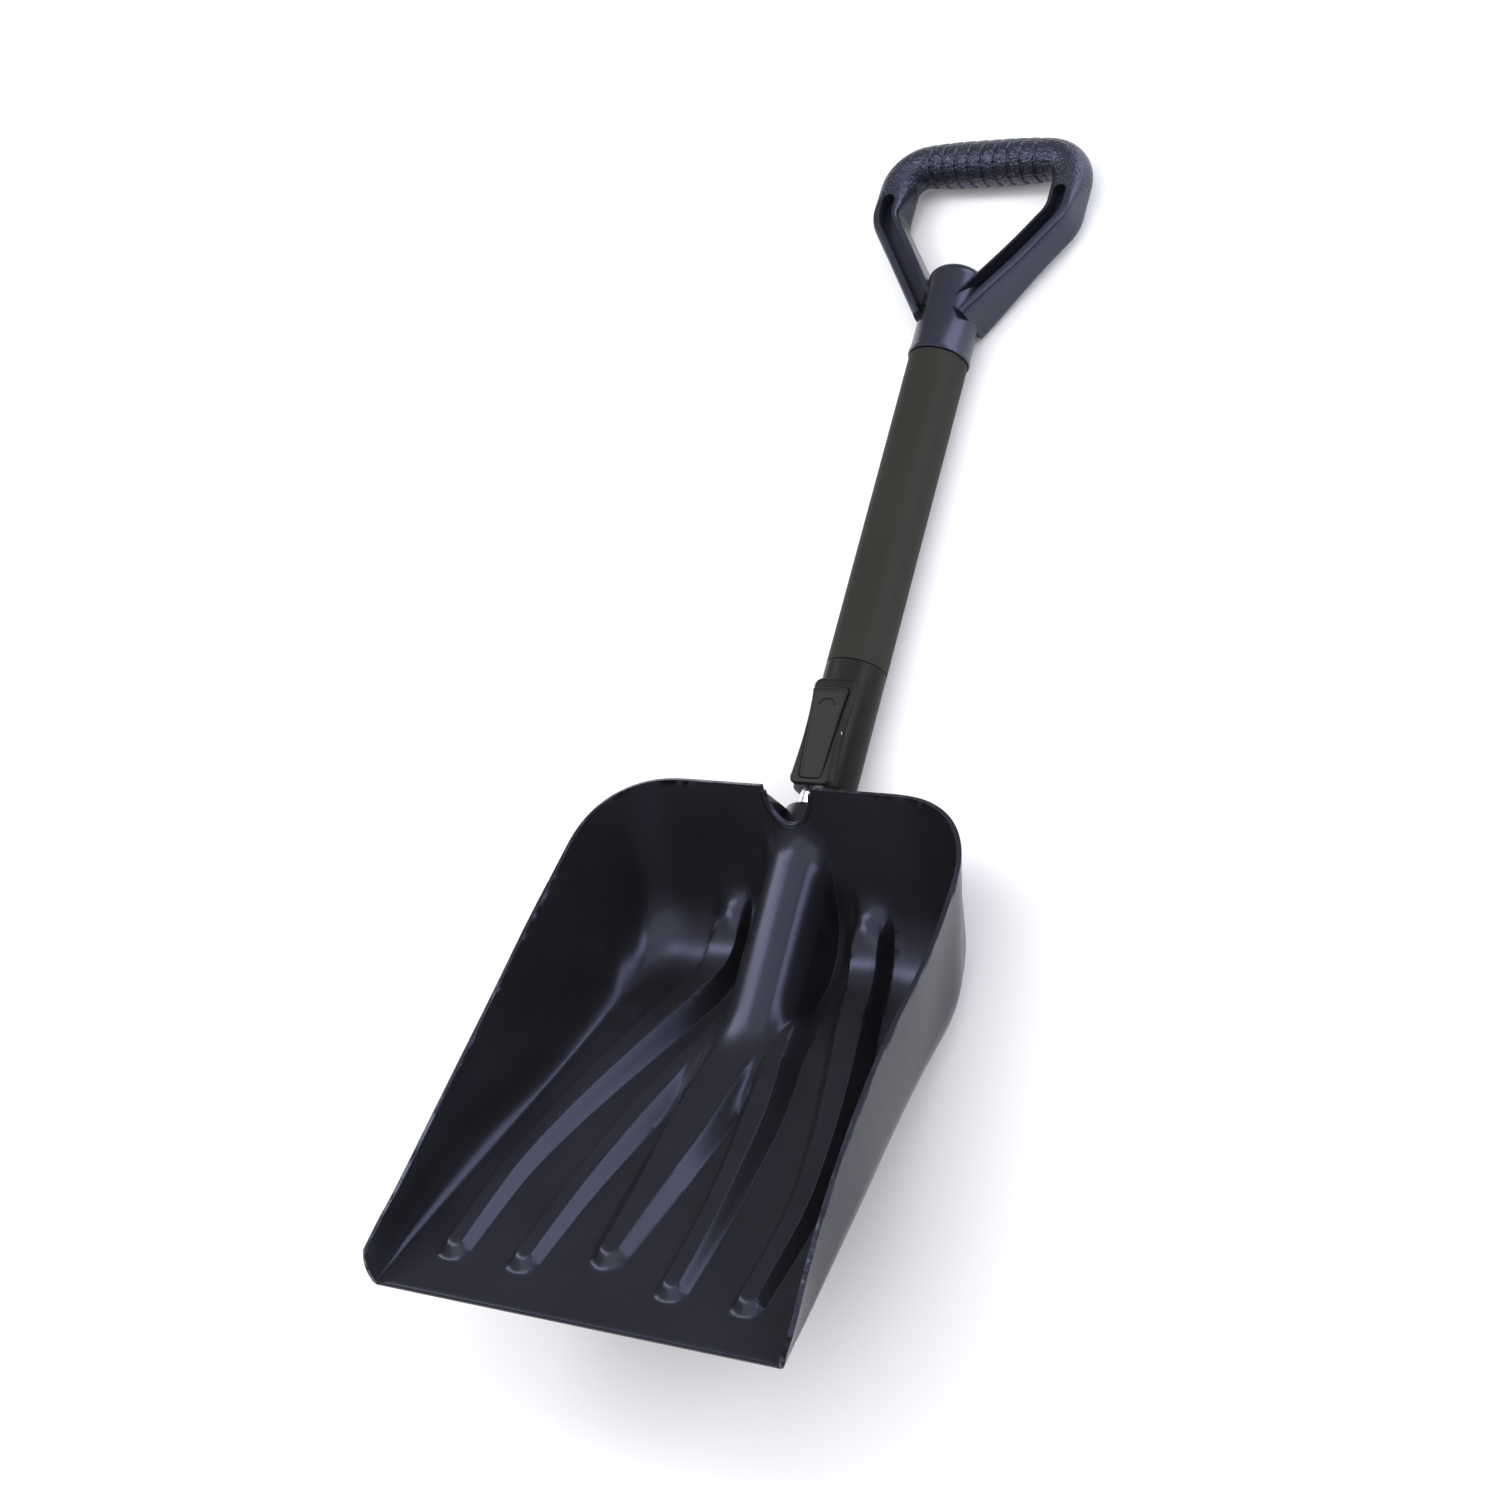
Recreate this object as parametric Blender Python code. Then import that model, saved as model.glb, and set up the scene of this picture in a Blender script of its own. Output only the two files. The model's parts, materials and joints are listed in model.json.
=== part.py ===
"""Telescoping snow shovel: a moulded scoop on a bright inner tube, an outer tube that slides on it,
a rocker lock between the two, and a moulded D-grip.

The scoop is drawn in its own frame: x across, y from the front edge back to the rear rim, z up from
the underside of its floor. Everything on the handle is drawn along the tube axis: local z runs up
the handle from the foot of the inner tube, and local -y is the side that the lock lever is on.
The finished shovel lies at rest on its heel and on the collar of the grip. All sizes are in metres.
"""
import math

import bmesh
import bpy
from mathutils import Matrix, Vector

# Fits
TOUCH_GAP = 0.0003           # between pieces that seat on each other
SLIDE_GAP = 0.0003           # running clearance, on the radius, of the telescoping pieces
LEVER_GAP = 0.0004           # round the rocker in its pocket

# Scoop
BLADE_WIDTH = 0.2366         # inside, at the front edge
BLADE_LENGTH = 0.2974        # front edge to the top of the rear wall
BLADE_HEIGHT = 0.1025        # floor underside to the rear rim
BLADE_WALL = 0.0026
FLOOR_TAPER = 0.0955         # how much each floor edge runs inward for each unit of length
REAR_LEAN = math.radians(13.5)
HEEL_RADIUS = 0.045          # inside, between floor and rear wall
FLOOR_CORNER_RADIUS = 0.024
RIM_CORNER_RADIUS = 0.047
RIM_FRONT_RADIUS = 0.019     # the rounded front corner of each side wall
NOTCH_HALF_WIDTH = 0.0152
NOTCH_DEPTH = 0.0225

# Ribs in the floor of the scoop
RIB_HEIGHT_FRONT = 0.0048
RIB_HEIGHT_REAR = 0.0115
RIB_FIRST = 0.0225           # from the front edge to the two outer pairs
RIB_FIRST_CENTRE = 0.0345    # from the front edge to the middle rib
RIB_LAST = 0.295             # end of the outermost ribs, measured along the floor and up the wall

# Handle line
HANDLE_ANGLE = math.radians(30.4)
FOOT_SETBACK = 0.0662        # foot of the inner tube, forward of the rear rim
FOOT_HEIGHT = 0.0159
BULGE_RADIUS = 0.0208        # the half-round that covers the socket inside the scoop

# Inner tube and socket
INNER_TUBE_RADIUS = 0.0127
INNER_TUBE_WALL = 0.0012
INNER_TUBE_LENGTH = 0.352
SOCKET_DEPTH = 0.103
SOCKET_FLOOR = 0.006
SOCKET_RADIUS = 0.0197
SOCKET_MOUTH_RADIUS = 0.0172
SOCKET_TAPER_LENGTH = 0.030
GUSSET_OFFSET = 0.0165
GUSSET_THICKNESS = 0.0024

# Outer tube, lock housing and grip along the handle
OUTER_TUBE_RADIUS = 0.0175
OUTER_TUBE_WALL = 0.0015
HOUSING_START = 0.1143
HOUSING_LENGTH = 0.0757
HOUSING_SPIGOT = 0.016
OUTER_TUBE_LENGTH = 0.2000
TRAVEL_STEP = 0.0211         # pitch of the lock holes
LOCK_POSITIONS = 7

# Lock: a rocker on a cross pin, a lock pin under its lower end, a spring under its upper end
BLOCK_HEIGHT = 0.0196        # cheeks of the lock housing, from the tube axis
BLOCK_END_WIDTH = 0.0127     # half width at either end
BLOCK_WAIST = 0.0112         # half width at the cross pin
BLOCK_OVERHANG = 0.0018      # the block's lower end, past the housing's own
BLOCK_TOP_MARGIN = 0.0062    # above the lever's thumb end
PIVOT_ALONG = 0.0307         # from the housing's lower end to the cross pin
PIVOT_HEIGHT = 0.0162        # from the tube axis
LEVER_UPPER = 0.0252         # from the cross pin to the thumb end
LEVER_LOWER = 0.0285         # from the cross pin to the lock end
LEVER_LOWER_WIDTH = 0.0066   # half width at the lock end
LEVER_UPPER_WIDTH = 0.0106   # half width at the thumb end
LEVER_PROUD = 0.0028         # how far the thumb end stands above the cheeks
POCKET_FLOOR = 0.0156        # from the tube axis
PIVOT_PIN_RADIUS = 0.0012
HINGE_BOSS_RADIUS = 0.0027
LOCK_PIN_RADIUS = 0.0024
LOCK_PIN_ALONG = 0.0225      # from the cross pin down to the lock pin
LOCK_PIN_BITE = 0.0018       # how far the pin reaches in past the tube's outer face
SPRING_ALONG = 0.0165        # from the cross pin up to the spring
SPRING_RADIUS = 0.0021       # to the middle of the wire
SPRING_WIRE = 0.00035
SPRING_LENGTH = 0.0048
SPRING_TURNS = 4

# Grip
COLLAR_RADIUS = 0.0180
COLLAR_BEAD = 0.0005
COLLAR_BEAD_LENGTH = 0.0032
GRIP_SPIGOT = 0.025
GRIP_SOCKET_LENGTH = 0.0520
GRIP_DOME = 0.0105
GRIP_HEIGHT = 0.1383         # from the collar's lower edge to the middle of the bar
GRIP_HALF_WIDTH = 0.0576     # to the middle of the side, where it is widest
GRIP_BAR_RADIUS = 0.0139
GRIP_SHOULDER_RADIUS = 0.0119
GRIP_TOP_BEND = 0.018
GRIP_ARM_BEND = 0.022
ARM_BEND_AT = 0.0960         # from the collar's lower edge to where an arm turns up
ARM_ANGLE = math.radians(35)
ARM_HALF_WIDTH = 0.0085
ARM_HALF_DEPTH = 0.0120
ARM_WEB = 0.0056
ARM_INNER_FLANGE = 0.0034
ARM_OUTER_FLANGE = 0.0052
SLOT_TOP = 0.1120            # top of the arms' recesses, from the collar's lower edge
GROOVES = 11
GROOVE_PITCH = 0.0086
GROOVE_DEPTH = 0.0010
GRIP_BORE_RADIUS = 0.0122
GRIP_BORE_DEPTH = 0.048

# Screws that hold the tubes
SCREW_SHANK_RADIUS = 0.0016
SCREW_HEAD_RADIUS = 0.0034
SCREW_HEAD_HEIGHT = 0.0010

ROUND = 40                   # facets round a tube
SMALL_ROUND = 20             # facets round a pin, hole or screw


def clear_scene():
    for item in list(bpy.data.objects):
        bpy.data.objects.remove(item, do_unlink=True)


def smooth_curve(knots, at):
    """Value at `at` of a curve through (place, value) knots, held level past either end."""
    if at <= knots[0][0]:
        return knots[0][1]
    if at >= knots[-1][0]:
        return knots[-1][1]
    slopes = [(b[1] - a[1]) / (b[0] - a[0]) for a, b in zip(knots, knots[1:])]
    for index, (low, high) in enumerate(zip(knots, knots[1:])):
        if at <= high[0]:
            break
    before = slopes[max(index - 1, 0)]
    after = slopes[min(index + 1, len(slopes) - 1)]
    span = high[0] - low[0]
    start_slope = 0.5 * (before + slopes[index])
    end_slope = 0.5 * (after + slopes[index])
    t = (at - low[0]) / span
    return ((2 * t**3 - 3 * t**2 + 1) * low[1] + (t**3 - 2 * t**2 + t) * span * start_slope
            + (3 * t**2 - 2 * t**3) * high[1] + (t**3 - t**2) * span * end_slope)


def ease(t):
    t = min(max(t, 0.0), 1.0)
    return t * t * (3 - 2 * t)


# Materials and objects ------------------------------------------------------------------------

def make_material(name, colour, roughness, metallic):
    material = bpy.data.materials.new(name)
    material.use_nodes = True
    shader = material.node_tree.nodes["Principled BSDF"]
    shader.inputs["Base Color"].default_value = (*colour, 1.0)
    shader.inputs["Roughness"].default_value = roughness
    shader.inputs["Metallic"].default_value = metallic
    return material


def add_object(name, mesh_builder, parent, material=None, smooth_angle=35):
    mesh = bpy.data.meshes.new(name)
    bmesh.ops.recalc_face_normals(mesh_builder, faces=mesh_builder.faces)
    mesh_builder.to_mesh(mesh)
    mesh_builder.free()
    mesh.shade_smooth()
    mesh.set_sharp_from_angle(angle=math.radians(smooth_angle))
    item = bpy.data.objects.new(name, mesh)
    item.parent = parent
    bpy.context.scene.collection.objects.link(item)
    if material:
        mesh.materials.append(material)
    return item


def add_empty(name, parent, matrix):
    item = bpy.data.objects.new(name, None)
    item.parent = parent
    item.matrix_local = matrix
    bpy.context.scene.collection.objects.link(item)
    return item


def combine(target, name, mesh_builder, operation):
    """Join a shape to, or cut it from, a target that has the same parent."""
    tool = add_object(name, mesh_builder, target.parent)
    tool.location = target.location
    tool.rotation_euler = target.rotation_euler
    tool.hide_render = True
    tool.display_type = "WIRE"
    step = target.modifiers.new(name, "BOOLEAN")
    step.operation = operation
    step.object = tool
    step.solver = "EXACT"


# Shapes ---------------------------------------------------------------------------------------

def lathe(outline, segments=ROUND, phase=0.0):
    """Turn an outline of (radius, along) points about z; a point at radius 0 lies on the axis.

    A bore has a phase of half a facet, so that its lines miss those of the piece it is cut in.
    """
    shape = bmesh.new()
    rings = []
    for radius, along in outline:
        if radius == 0:
            rings.append([shape.verts.new((0, 0, along))])
            continue
        turn = [2 * math.pi * (k + phase) / segments for k in range(segments)]
        rings.append([shape.verts.new((radius * math.cos(a), radius * math.sin(a), along))
                      for a in turn])
    closed = all(len(ring) > 1 for ring in rings)
    pairs = list(zip(rings, rings[1:])) + ([(rings[-1], rings[0])] if closed else [])
    for one, two in pairs:
        for k in range(segments):
            n = (k + 1) % segments
            corners = [one[k % len(one)], one[n % len(one)], two[n % len(two)], two[k % len(two)]]
            shape.faces.new(list(dict.fromkeys(corners)))
    return shape


def tube(inner, outer, low, high, segments=ROUND):
    return lathe([(inner, low), (outer, low), (outer, high), (inner, high)], segments)


def prism(outline, low, high, place, shape=None):
    """A closed outline between two levels; place(u, v, w) gives the 3-D point."""
    shape = shape or bmesh.new()
    bottom = [shape.verts.new(place(u, v, low)) for u, v in outline]
    top = [shape.verts.new(place(u, v, high)) for u, v in outline]
    shape.faces.new(bottom)
    shape.faces.new(top)
    for k in range(len(outline)):
        n = (k + 1) % len(outline)
        shape.faces.new([bottom[k], bottom[n], top[n], top[k]])
    return shape


def circle(radius, centre=(0.0, 0.0), segments=SMALL_ROUND):
    turn = [2 * math.pi * (k + 0.5) / segments for k in range(segments)]
    return [(centre[0] + radius * math.cos(a), centre[1] + radius * math.sin(a)) for a in turn]


def facing(u, v, w):
    """Outline across and along the handle, level counted outward on the lever's side."""
    return (u, -w, v)


def sideways(u, v, w):
    """Outline along the handle and outward on the lever's side, level across."""
    return (w, -v, u)


def radial(angle, along):
    """Place an outline on the side of the tube, level counted outward from the axis."""
    turn = Matrix.Rotation(angle, 3, "Z")

    def place(u, v, w):
        return turn @ Vector((u, w, along + v))
    return place


# Scoop ----------------------------------------------------------------------------------------

HALF_WIDTH = BLADE_WIDTH / 2
WALL_FOOT = BLADE_LENGTH - (BLADE_HEIGHT - BLADE_WALL) * math.tan(REAR_LEAN)
HEEL_SWEEP = math.pi / 2 - REAR_LEAN
FLOOR_END = WALL_FOOT - HEEL_RADIUS * math.tan(HEEL_SWEEP / 2)
HEEL_ARC = HEEL_RADIUS * HEEL_SWEEP
HEEL_TOP = BLADE_WALL + HEEL_RADIUS * (1 - math.cos(HEEL_SWEEP))
WALL_SLANT = (BLADE_HEIGHT - HEEL_TOP) / math.cos(REAR_LEAN)
FOOT_Y = BLADE_LENGTH - FOOT_SETBACK
HEEL_STEPS = 7               # levels of the surface up the heel, and up the wall above it
WALL_STEPS = 4
CORNER_STEPS = 3             # on either half of a rounded rear corner
BLEND = 0.005                # how softly the ribs run into the socket's half-round

# The rim of one side wall, seen from above and from the side: share of the length, share of the
# half width or of the height.
RIM_PLAN = ((0.037, 1.048), (0.114, 1.020), (0.296, 0.990), (0.498, 0.985), (0.720, 1.010),
            (0.824, 1.000))
RIM_PROFILE = ((0.037, 0.166), (0.066, 0.209), (0.114, 0.256), (0.296, 0.440), (0.498, 0.610),
               (0.720, 0.760), (0.824, 0.844), (0.920, 0.940), (1.000, 1.000))
# How the side wall leaves the floor: share of the floor's length, fillet radius, and the angle
# of the crease that the fillet starts with.
SIDE_FILLET = ((0.0, 0.003), (0.10, 0.007), (0.35, 0.017), (0.65, 0.024), (0.85, 0.032),
               (1.0, 0.040))
SIDE_CREASE = ((0.0, 40.0), (0.70, 38.0), (0.90, 16.0), (1.0, 4.0))

# Each rib: centre line (share of length, share of half width), then half widths of its top and
# of its base along the length, in metres.
MIDDLE_RIB = {
    "start": RIB_FIRST_CENTRE, "end": 0.232,
    "centre": ((0.0, 0.0), (1.0, 0.0)),
    "top": ((0.12, 0.0045), (0.225, 0.0056), (0.30, 0.0072), (0.41, 0.0107), (0.55, 0.0125),
            (0.9, 0.012)),
    "base": ((0.14, 0.0105), (0.205, 0.0130), (0.363, 0.0167), (0.52, 0.0190), (0.75, 0.0204)),
}
INNER_RIB = {
    "start": RIB_FIRST, "end": 0.226,
    "centre": ((0.08, 0.373), (0.17, 0.364), (0.27, 0.348), (0.385, 0.314), (0.50, 0.272),
               (0.60, 0.205), (0.65, 0.165), (0.75, 0.150)),
    "top": ((0.1, 0.0043), (0.34, 0.0046), (0.50, 0.0056), (0.65, 0.0066)),
    "base": ((0.1, 0.0090), (0.34, 0.0105), (0.50, 0.0126), (0.65, 0.0150)),
}
OUTER_RIB = {
    "start": RIB_FIRST, "end": RIB_LAST,
    "centre": ((0.10, 0.733), (0.20, 0.733), (0.30, 0.724), (0.40, 0.682), (0.50, 0.626),
               (0.60, 0.558), (0.69, 0.492), (0.77, 0.428), (0.88, 0.380), (1.0, 0.362)),
    "top": ((0.1, 0.0043), (0.34, 0.0046), (0.50, 0.0056), (0.65, 0.0068), (0.95, 0.0080)),
    "base": ((0.1, 0.0090), (0.34, 0.0105), (0.50, 0.0126), (0.65, 0.0142), (0.77, 0.0138),
             (1.0, 0.0125)),
}
COLUMN_SPACE = 0.0012        # the least distance between two lines of the surface


def floor_edge(y):
    return HALF_WIDTH - FLOOR_TAPER * y


def rib_line(rib, v):
    """Centre and half widths of a rib at distance v along the floor and up the wall."""
    share = v / BLADE_LENGTH
    centre = smooth_curve(rib["centre"], share) * HALF_WIDTH
    return centre, smooth_curve(rib["top"], share), smooth_curve(rib["base"], share)


def rib_rise(x, v):
    """How far the ribs lift the surface at (x, v)."""
    rise = 0.0
    for rib in (MIDDLE_RIB, INNER_RIB, OUTER_RIB):
        centre, top, base = rib_line(rib, v)
        past = max(rib["start"] + base - v, 0.0)
        if rib["end"]:
            past = max(past, v - (rib["end"] - base))
        reach = math.hypot(abs(x) - centre, past)
        grow = ease(v / FLOOR_END)
        height = RIB_HEIGHT_FRONT + (RIB_HEIGHT_REAR - RIB_HEIGHT_FRONT) * grow
        rise = max(rise, height * min(max((base - reach) / (base - top), 0.0), 1.0))
    return rise


def column_lines(v):
    """The surface's lines on one half at v, from the middle out: each rib's own and between."""
    _, top, base = rib_line(MIDDLE_RIB, v)
    lines = [0.0, top / 2, top, (top + base) / 2, base]
    for rib in (INNER_RIB, OUTER_RIB):
        centre, top, base = rib_line(rib, v)
        valley = len(lines)
        low = max(centre - base, lines[-1] + 2 * COLUMN_SPACE)
        lines.append((lines[-1] + low) / 2)
        for line in (centre - base, centre - top, centre, centre + top, centre + base):
            lines.append(max(line, lines[-1] + COLUMN_SPACE))
        lines[valley] = (lines[valley - 1] + lines[valley + 1]) / 2
    return lines


def bulge_line(x):
    """Where the socket's half-round runs at x: its height over the axis, or None beside it."""
    if abs(x) >= BULGE_RADIUS:
        return None
    return math.sqrt(BULGE_RADIUS**2 - x * x) / math.cos(HANDLE_ANGLE)


def blend_over(low, high):
    """The higher of two heights, with a soft hollow where they are close."""
    share = min(max(0.5 + 0.5 * (high - low) / BLEND, 0.0), 1.0)
    return low + (high - low) * share + BLEND * share * (1 - share)


def axis_height(y):
    return FOOT_HEIGHT + (y - FOOT_Y) * math.tan(HANDLE_ANGLE)


def rear_profile(v):
    """Point (y, z) and inward normal of the rear wall at distance v, past the end of the floor."""
    if v <= FLOOR_END + HEEL_ARC:
        turn = (v - FLOOR_END) / HEEL_RADIUS
        point = (FLOOR_END + HEEL_RADIUS * math.sin(turn),
                 BLADE_WALL + HEEL_RADIUS * (1 - math.cos(turn)))
        return point, (-math.sin(turn), math.cos(turn))
    up = v - FLOOR_END - HEEL_ARC
    z = HEEL_TOP + up * math.cos(REAR_LEAN)
    y = WALL_FOOT + (z - BLADE_WALL) * math.tan(REAR_LEAN)
    return (y, z), (-math.cos(REAR_LEAN), math.sin(REAR_LEAN))


def rear_point(x, v):
    """A point of the surface behind the flat floor, with the socket's half-round and the ribs."""
    (y, z), (normal_y, normal_z) = rear_profile(v)
    rise = rib_rise(x, v)
    over = bulge_line(x)
    if over is not None:
        lean = math.tan(REAR_LEAN)
        slope = math.tan(HANDLE_ANGLE)
        top_z = (axis_height(WALL_FOOT - BLADE_WALL * lean) + over) / (1 - slope * lean)
        top_y = WALL_FOOT + (top_z - BLADE_WALL) * lean
        top_v = FLOOR_END + HEEL_ARC + (top_z - HEEL_TOP) / math.cos(REAR_LEAN)
        if v < top_v:
            share = (v - FLOOR_END) / (top_v - FLOOR_END)
            start_z = floor_point(x, FLOOR_END).z
            return Vector((x, FLOOR_END + (top_y - FLOOR_END) * share,
                           start_z + (top_z - start_z) * share))
    return Vector((x, y + normal_y * rise, z + normal_z * rise))


def wall_point(foot, rim, radius, crease, step):
    """A point of a curved wall from its foot on the floor to the rim, through a fillet."""
    out = Vector((rim.x - foot.x, rim.y - foot.y, 0))
    run = out.length
    out.normalize()
    climb = rim.z - foot.z
    centre = (-radius * math.sin(crease), radius * math.cos(crease))
    reach = math.hypot(run - centre[0], climb - centre[1])
    lean = math.atan2(climb - centre[1], run - centre[0]) + math.asin(radius / reach)
    if step <= HEEL_STEPS:
        turn = crease + (lean - crease) * step / HEEL_STEPS
        along = centre[0] + radius * math.sin(turn)
        up = centre[1] - radius * math.cos(turn)
    else:
        share = (step - HEEL_STEPS) / WALL_STEPS
        along = centre[0] + radius * math.sin(lean)
        up = centre[1] - radius * math.cos(lean)
        along += (run - along) * share
        up += (climb - up) * share
    return Vector((foot.x + out.x * along, foot.y + out.y * along, foot.z + up))


def rim_point(y):
    """The rim of the side wall at y, before its rear corner."""
    share = y / BLADE_LENGTH
    return Vector((smooth_curve(RIM_PLAN, share) * HALF_WIDTH, y,
                   smooth_curve(RIM_PROFILE, share) * BLADE_HEIGHT))


def corner_point(turn):
    """The rim's rear corner: turn 0 where it leaves the side, 90 degrees at the rear rim."""
    straight_end = BLADE_LENGTH - RIM_CORNER_RADIUS
    side = rim_point(straight_end)
    x = side.x - RIM_CORNER_RADIUS * (1 - math.cos(turn))
    y = straight_end + RIM_CORNER_RADIUS * math.sin(turn)
    return Vector((x, y, smooth_curve(RIM_PROFILE, y / BLADE_LENGTH) * BLADE_HEIGHT))


CORNER_START = FLOOR_END - FLOOR_CORNER_RADIUS
CORNER_MIDDLE = floor_edge(CORNER_START) - FLOOR_CORNER_RADIUS
CORNER_TURNS = [math.radians(45) * k / CORNER_STEPS for k in range(1, CORNER_STEPS + 1)]


def floor_corner(turn):
    return Vector((CORNER_MIDDLE + FLOOR_CORNER_RADIUS * math.cos(turn),
                   CORNER_START + FLOOR_CORNER_RADIUS * math.sin(turn), BLADE_WALL))


def side_rim(y):
    """The rim point that the wall reaches from the straight floor edge at y."""
    front = RIM_PLAN[0][0] * BLADE_LENGTH
    shift = BLADE_LENGTH - RIM_CORNER_RADIUS - CORNER_START
    return rim_point(y + front * (1 - ease(y / (3 * front)))
                     + shift * ease((y - 0.4 * CORNER_START) / (0.6 * CORNER_START)))


def floor_rows():
    """Rows of the floor as (y, turn): close together over the ribs' round front ends, even
    behind them, and then fanned round the rear corner."""
    rows = [0.0, 0.5 * RIB_FIRST, 0.9 * RIB_FIRST]
    fine_end = RIB_FIRST_CENTRE + 0.013
    fine_steps = 9
    for k in range(fine_steps):
        rows.append(RIB_FIRST + (fine_end - RIB_FIRST) * k / fine_steps)
    steps = 12
    for k in range(steps + 1):
        rows.append(fine_end + (CORNER_START - fine_end) * k / steps)
    fan = [(CORNER_START + FLOOR_CORNER_RADIUS * turn / math.radians(45), turn)
           for turn in CORNER_TURNS]
    return [(y, 0.0) for y in rows] + fan


def floor_point(x, y):
    z = BLADE_WALL + rib_rise(x, y)
    over = bulge_line(x)
    if over is not None:
        z = blend_over(z, axis_height(y) + over)
    return Vector((x, y, z))


def half_floor(y, turn):
    """One half of a floor row: the lines of the ribs, then the lines of the rear corner."""
    points = [floor_point(x, y) for x in column_lines(y)]
    if turn:
        edge = floor_corner(turn)
    else:
        edge = Vector((floor_edge(y), y, BLADE_WALL))
    last_x = points[-1].x
    full_drop = FLOOR_CORNER_RADIUS * (1 - math.cos(math.radians(45)))
    settled = ease((y / FLOOR_END - 0.5) * 2)
    for k in range(CORNER_STEPS):
        fan = math.radians(90) - math.radians(45) * k / CORNER_STEPS
        even = last_x + (edge.x - last_x) * (k + 1) / (CORNER_STEPS + 1)
        reach = floor_corner(fan).x - floor_corner(math.radians(90)).x
        whole = floor_corner(math.radians(45)).x - floor_corner(math.radians(90)).x
        start = max(floor_corner(math.radians(90)).x - last_x, 2 * COLUMN_SPACE)
        share = (start + reach) / (start + whole)
        fanned = last_x + (edge.x - last_x) * share
        drop = (FLOOR_END - floor_corner(fan).y) / full_drop
        points.append(Vector((even + (fanned - even) * settled, y - (y - edge.y) * drop,
                              BLADE_WALL)))
    return points + [edge]


def half_wall(step):
    """One half of a wall row over the rear edge of the floor, from the middle to the corner."""
    if step <= HEEL_STEPS:
        v = FLOOR_END + HEEL_ARC * step / HEEL_STEPS
    else:
        v = FLOOR_END + HEEL_ARC + WALL_SLANT * (step - HEEL_STEPS) / WALL_STEPS
    points = [rear_point(x, v) for x in column_lines(v)]
    feet = half_floor(FLOOR_END, math.radians(45))[-CORNER_STEPS - 1:]
    for k, foot in enumerate(feet):
        fan = math.radians(90) - math.radians(45) * k / CORNER_STEPS
        points.append(wall_point(foot, corner_point(fan), HEEL_RADIUS, 0.0, step))
    return points


def side_wall_point(y, turn, foot, step):
    share = y / FLOOR_END
    rim = corner_point(turn) if turn else side_rim(y)
    crease = math.radians(smooth_curve(SIDE_CREASE, share))
    point = wall_point(foot, rim, smooth_curve(SIDE_FILLET, share), crease, step)
    if y == 0.0:
        climb = min((point.z - BLADE_WALL) / RIM_FRONT_RADIUS, 0.97)
        point.y = RIM_FRONT_RADIUS * (1 - math.sqrt(1 - climb**2))
    return point


def scoop_surface():
    """The inside surface of the scoop as one sheet of quads, facing up and inward."""
    shape = bmesh.new()

    def mirrored(half):
        left = [shape.verts.new((-p.x, p.y, p.z)) for p in reversed(half[1:])]
        return left + [shape.verts.new(p) for p in half]

    def fill(one, two):
        for k in range(len(one) - 1):
            shape.faces.new([one[k], one[k + 1], two[k + 1], two[k]])

    rows = floor_rows()
    floor = [mirrored(half_floor(y, turn)) for y, turn in rows]
    for one, two in zip(floor, floor[1:]):
        fill(one, two)
    rear = [floor[-1]]
    for step in range(1, HEEL_STEPS + WALL_STEPS + 1):
        rear.append(mirrored(half_wall(step)))
        fill(rear[-2], rear[-1])
    for side, end in ((-1, 0), (1, -1)):
        column = [row[end] for row in rear]
        for place in range(len(rows) - 2, -1, -1):
            foot = floor[place][end]
            start = Vector((abs(foot.co.x), foot.co.y, foot.co.z))
            points = [side_wall_point(*rows[place], start, step)
                      for step in range(1, HEEL_STEPS + WALL_STEPS + 1)]
            nearer = [foot] + [shape.verts.new((side * p.x, p.y, p.z)) for p in points]
            if side > 0:
                fill(nearer, column)
            else:
                fill(column, nearer)
            column = nearer
    return shape


def scoop_normal_up(item):
    """Turn the sheet so that its faces look into the scoop."""
    shape = bmesh.new()
    shape.from_mesh(item.data)
    shape.faces.ensure_lookup_table()
    middle = min(shape.faces, key=lambda face: face.calc_center_median().y)
    if middle.normal.z < 0:
        bmesh.ops.reverse_faces(shape, faces=shape.faces)
    shape.to_mesh(item.data)
    shape.free()


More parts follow.
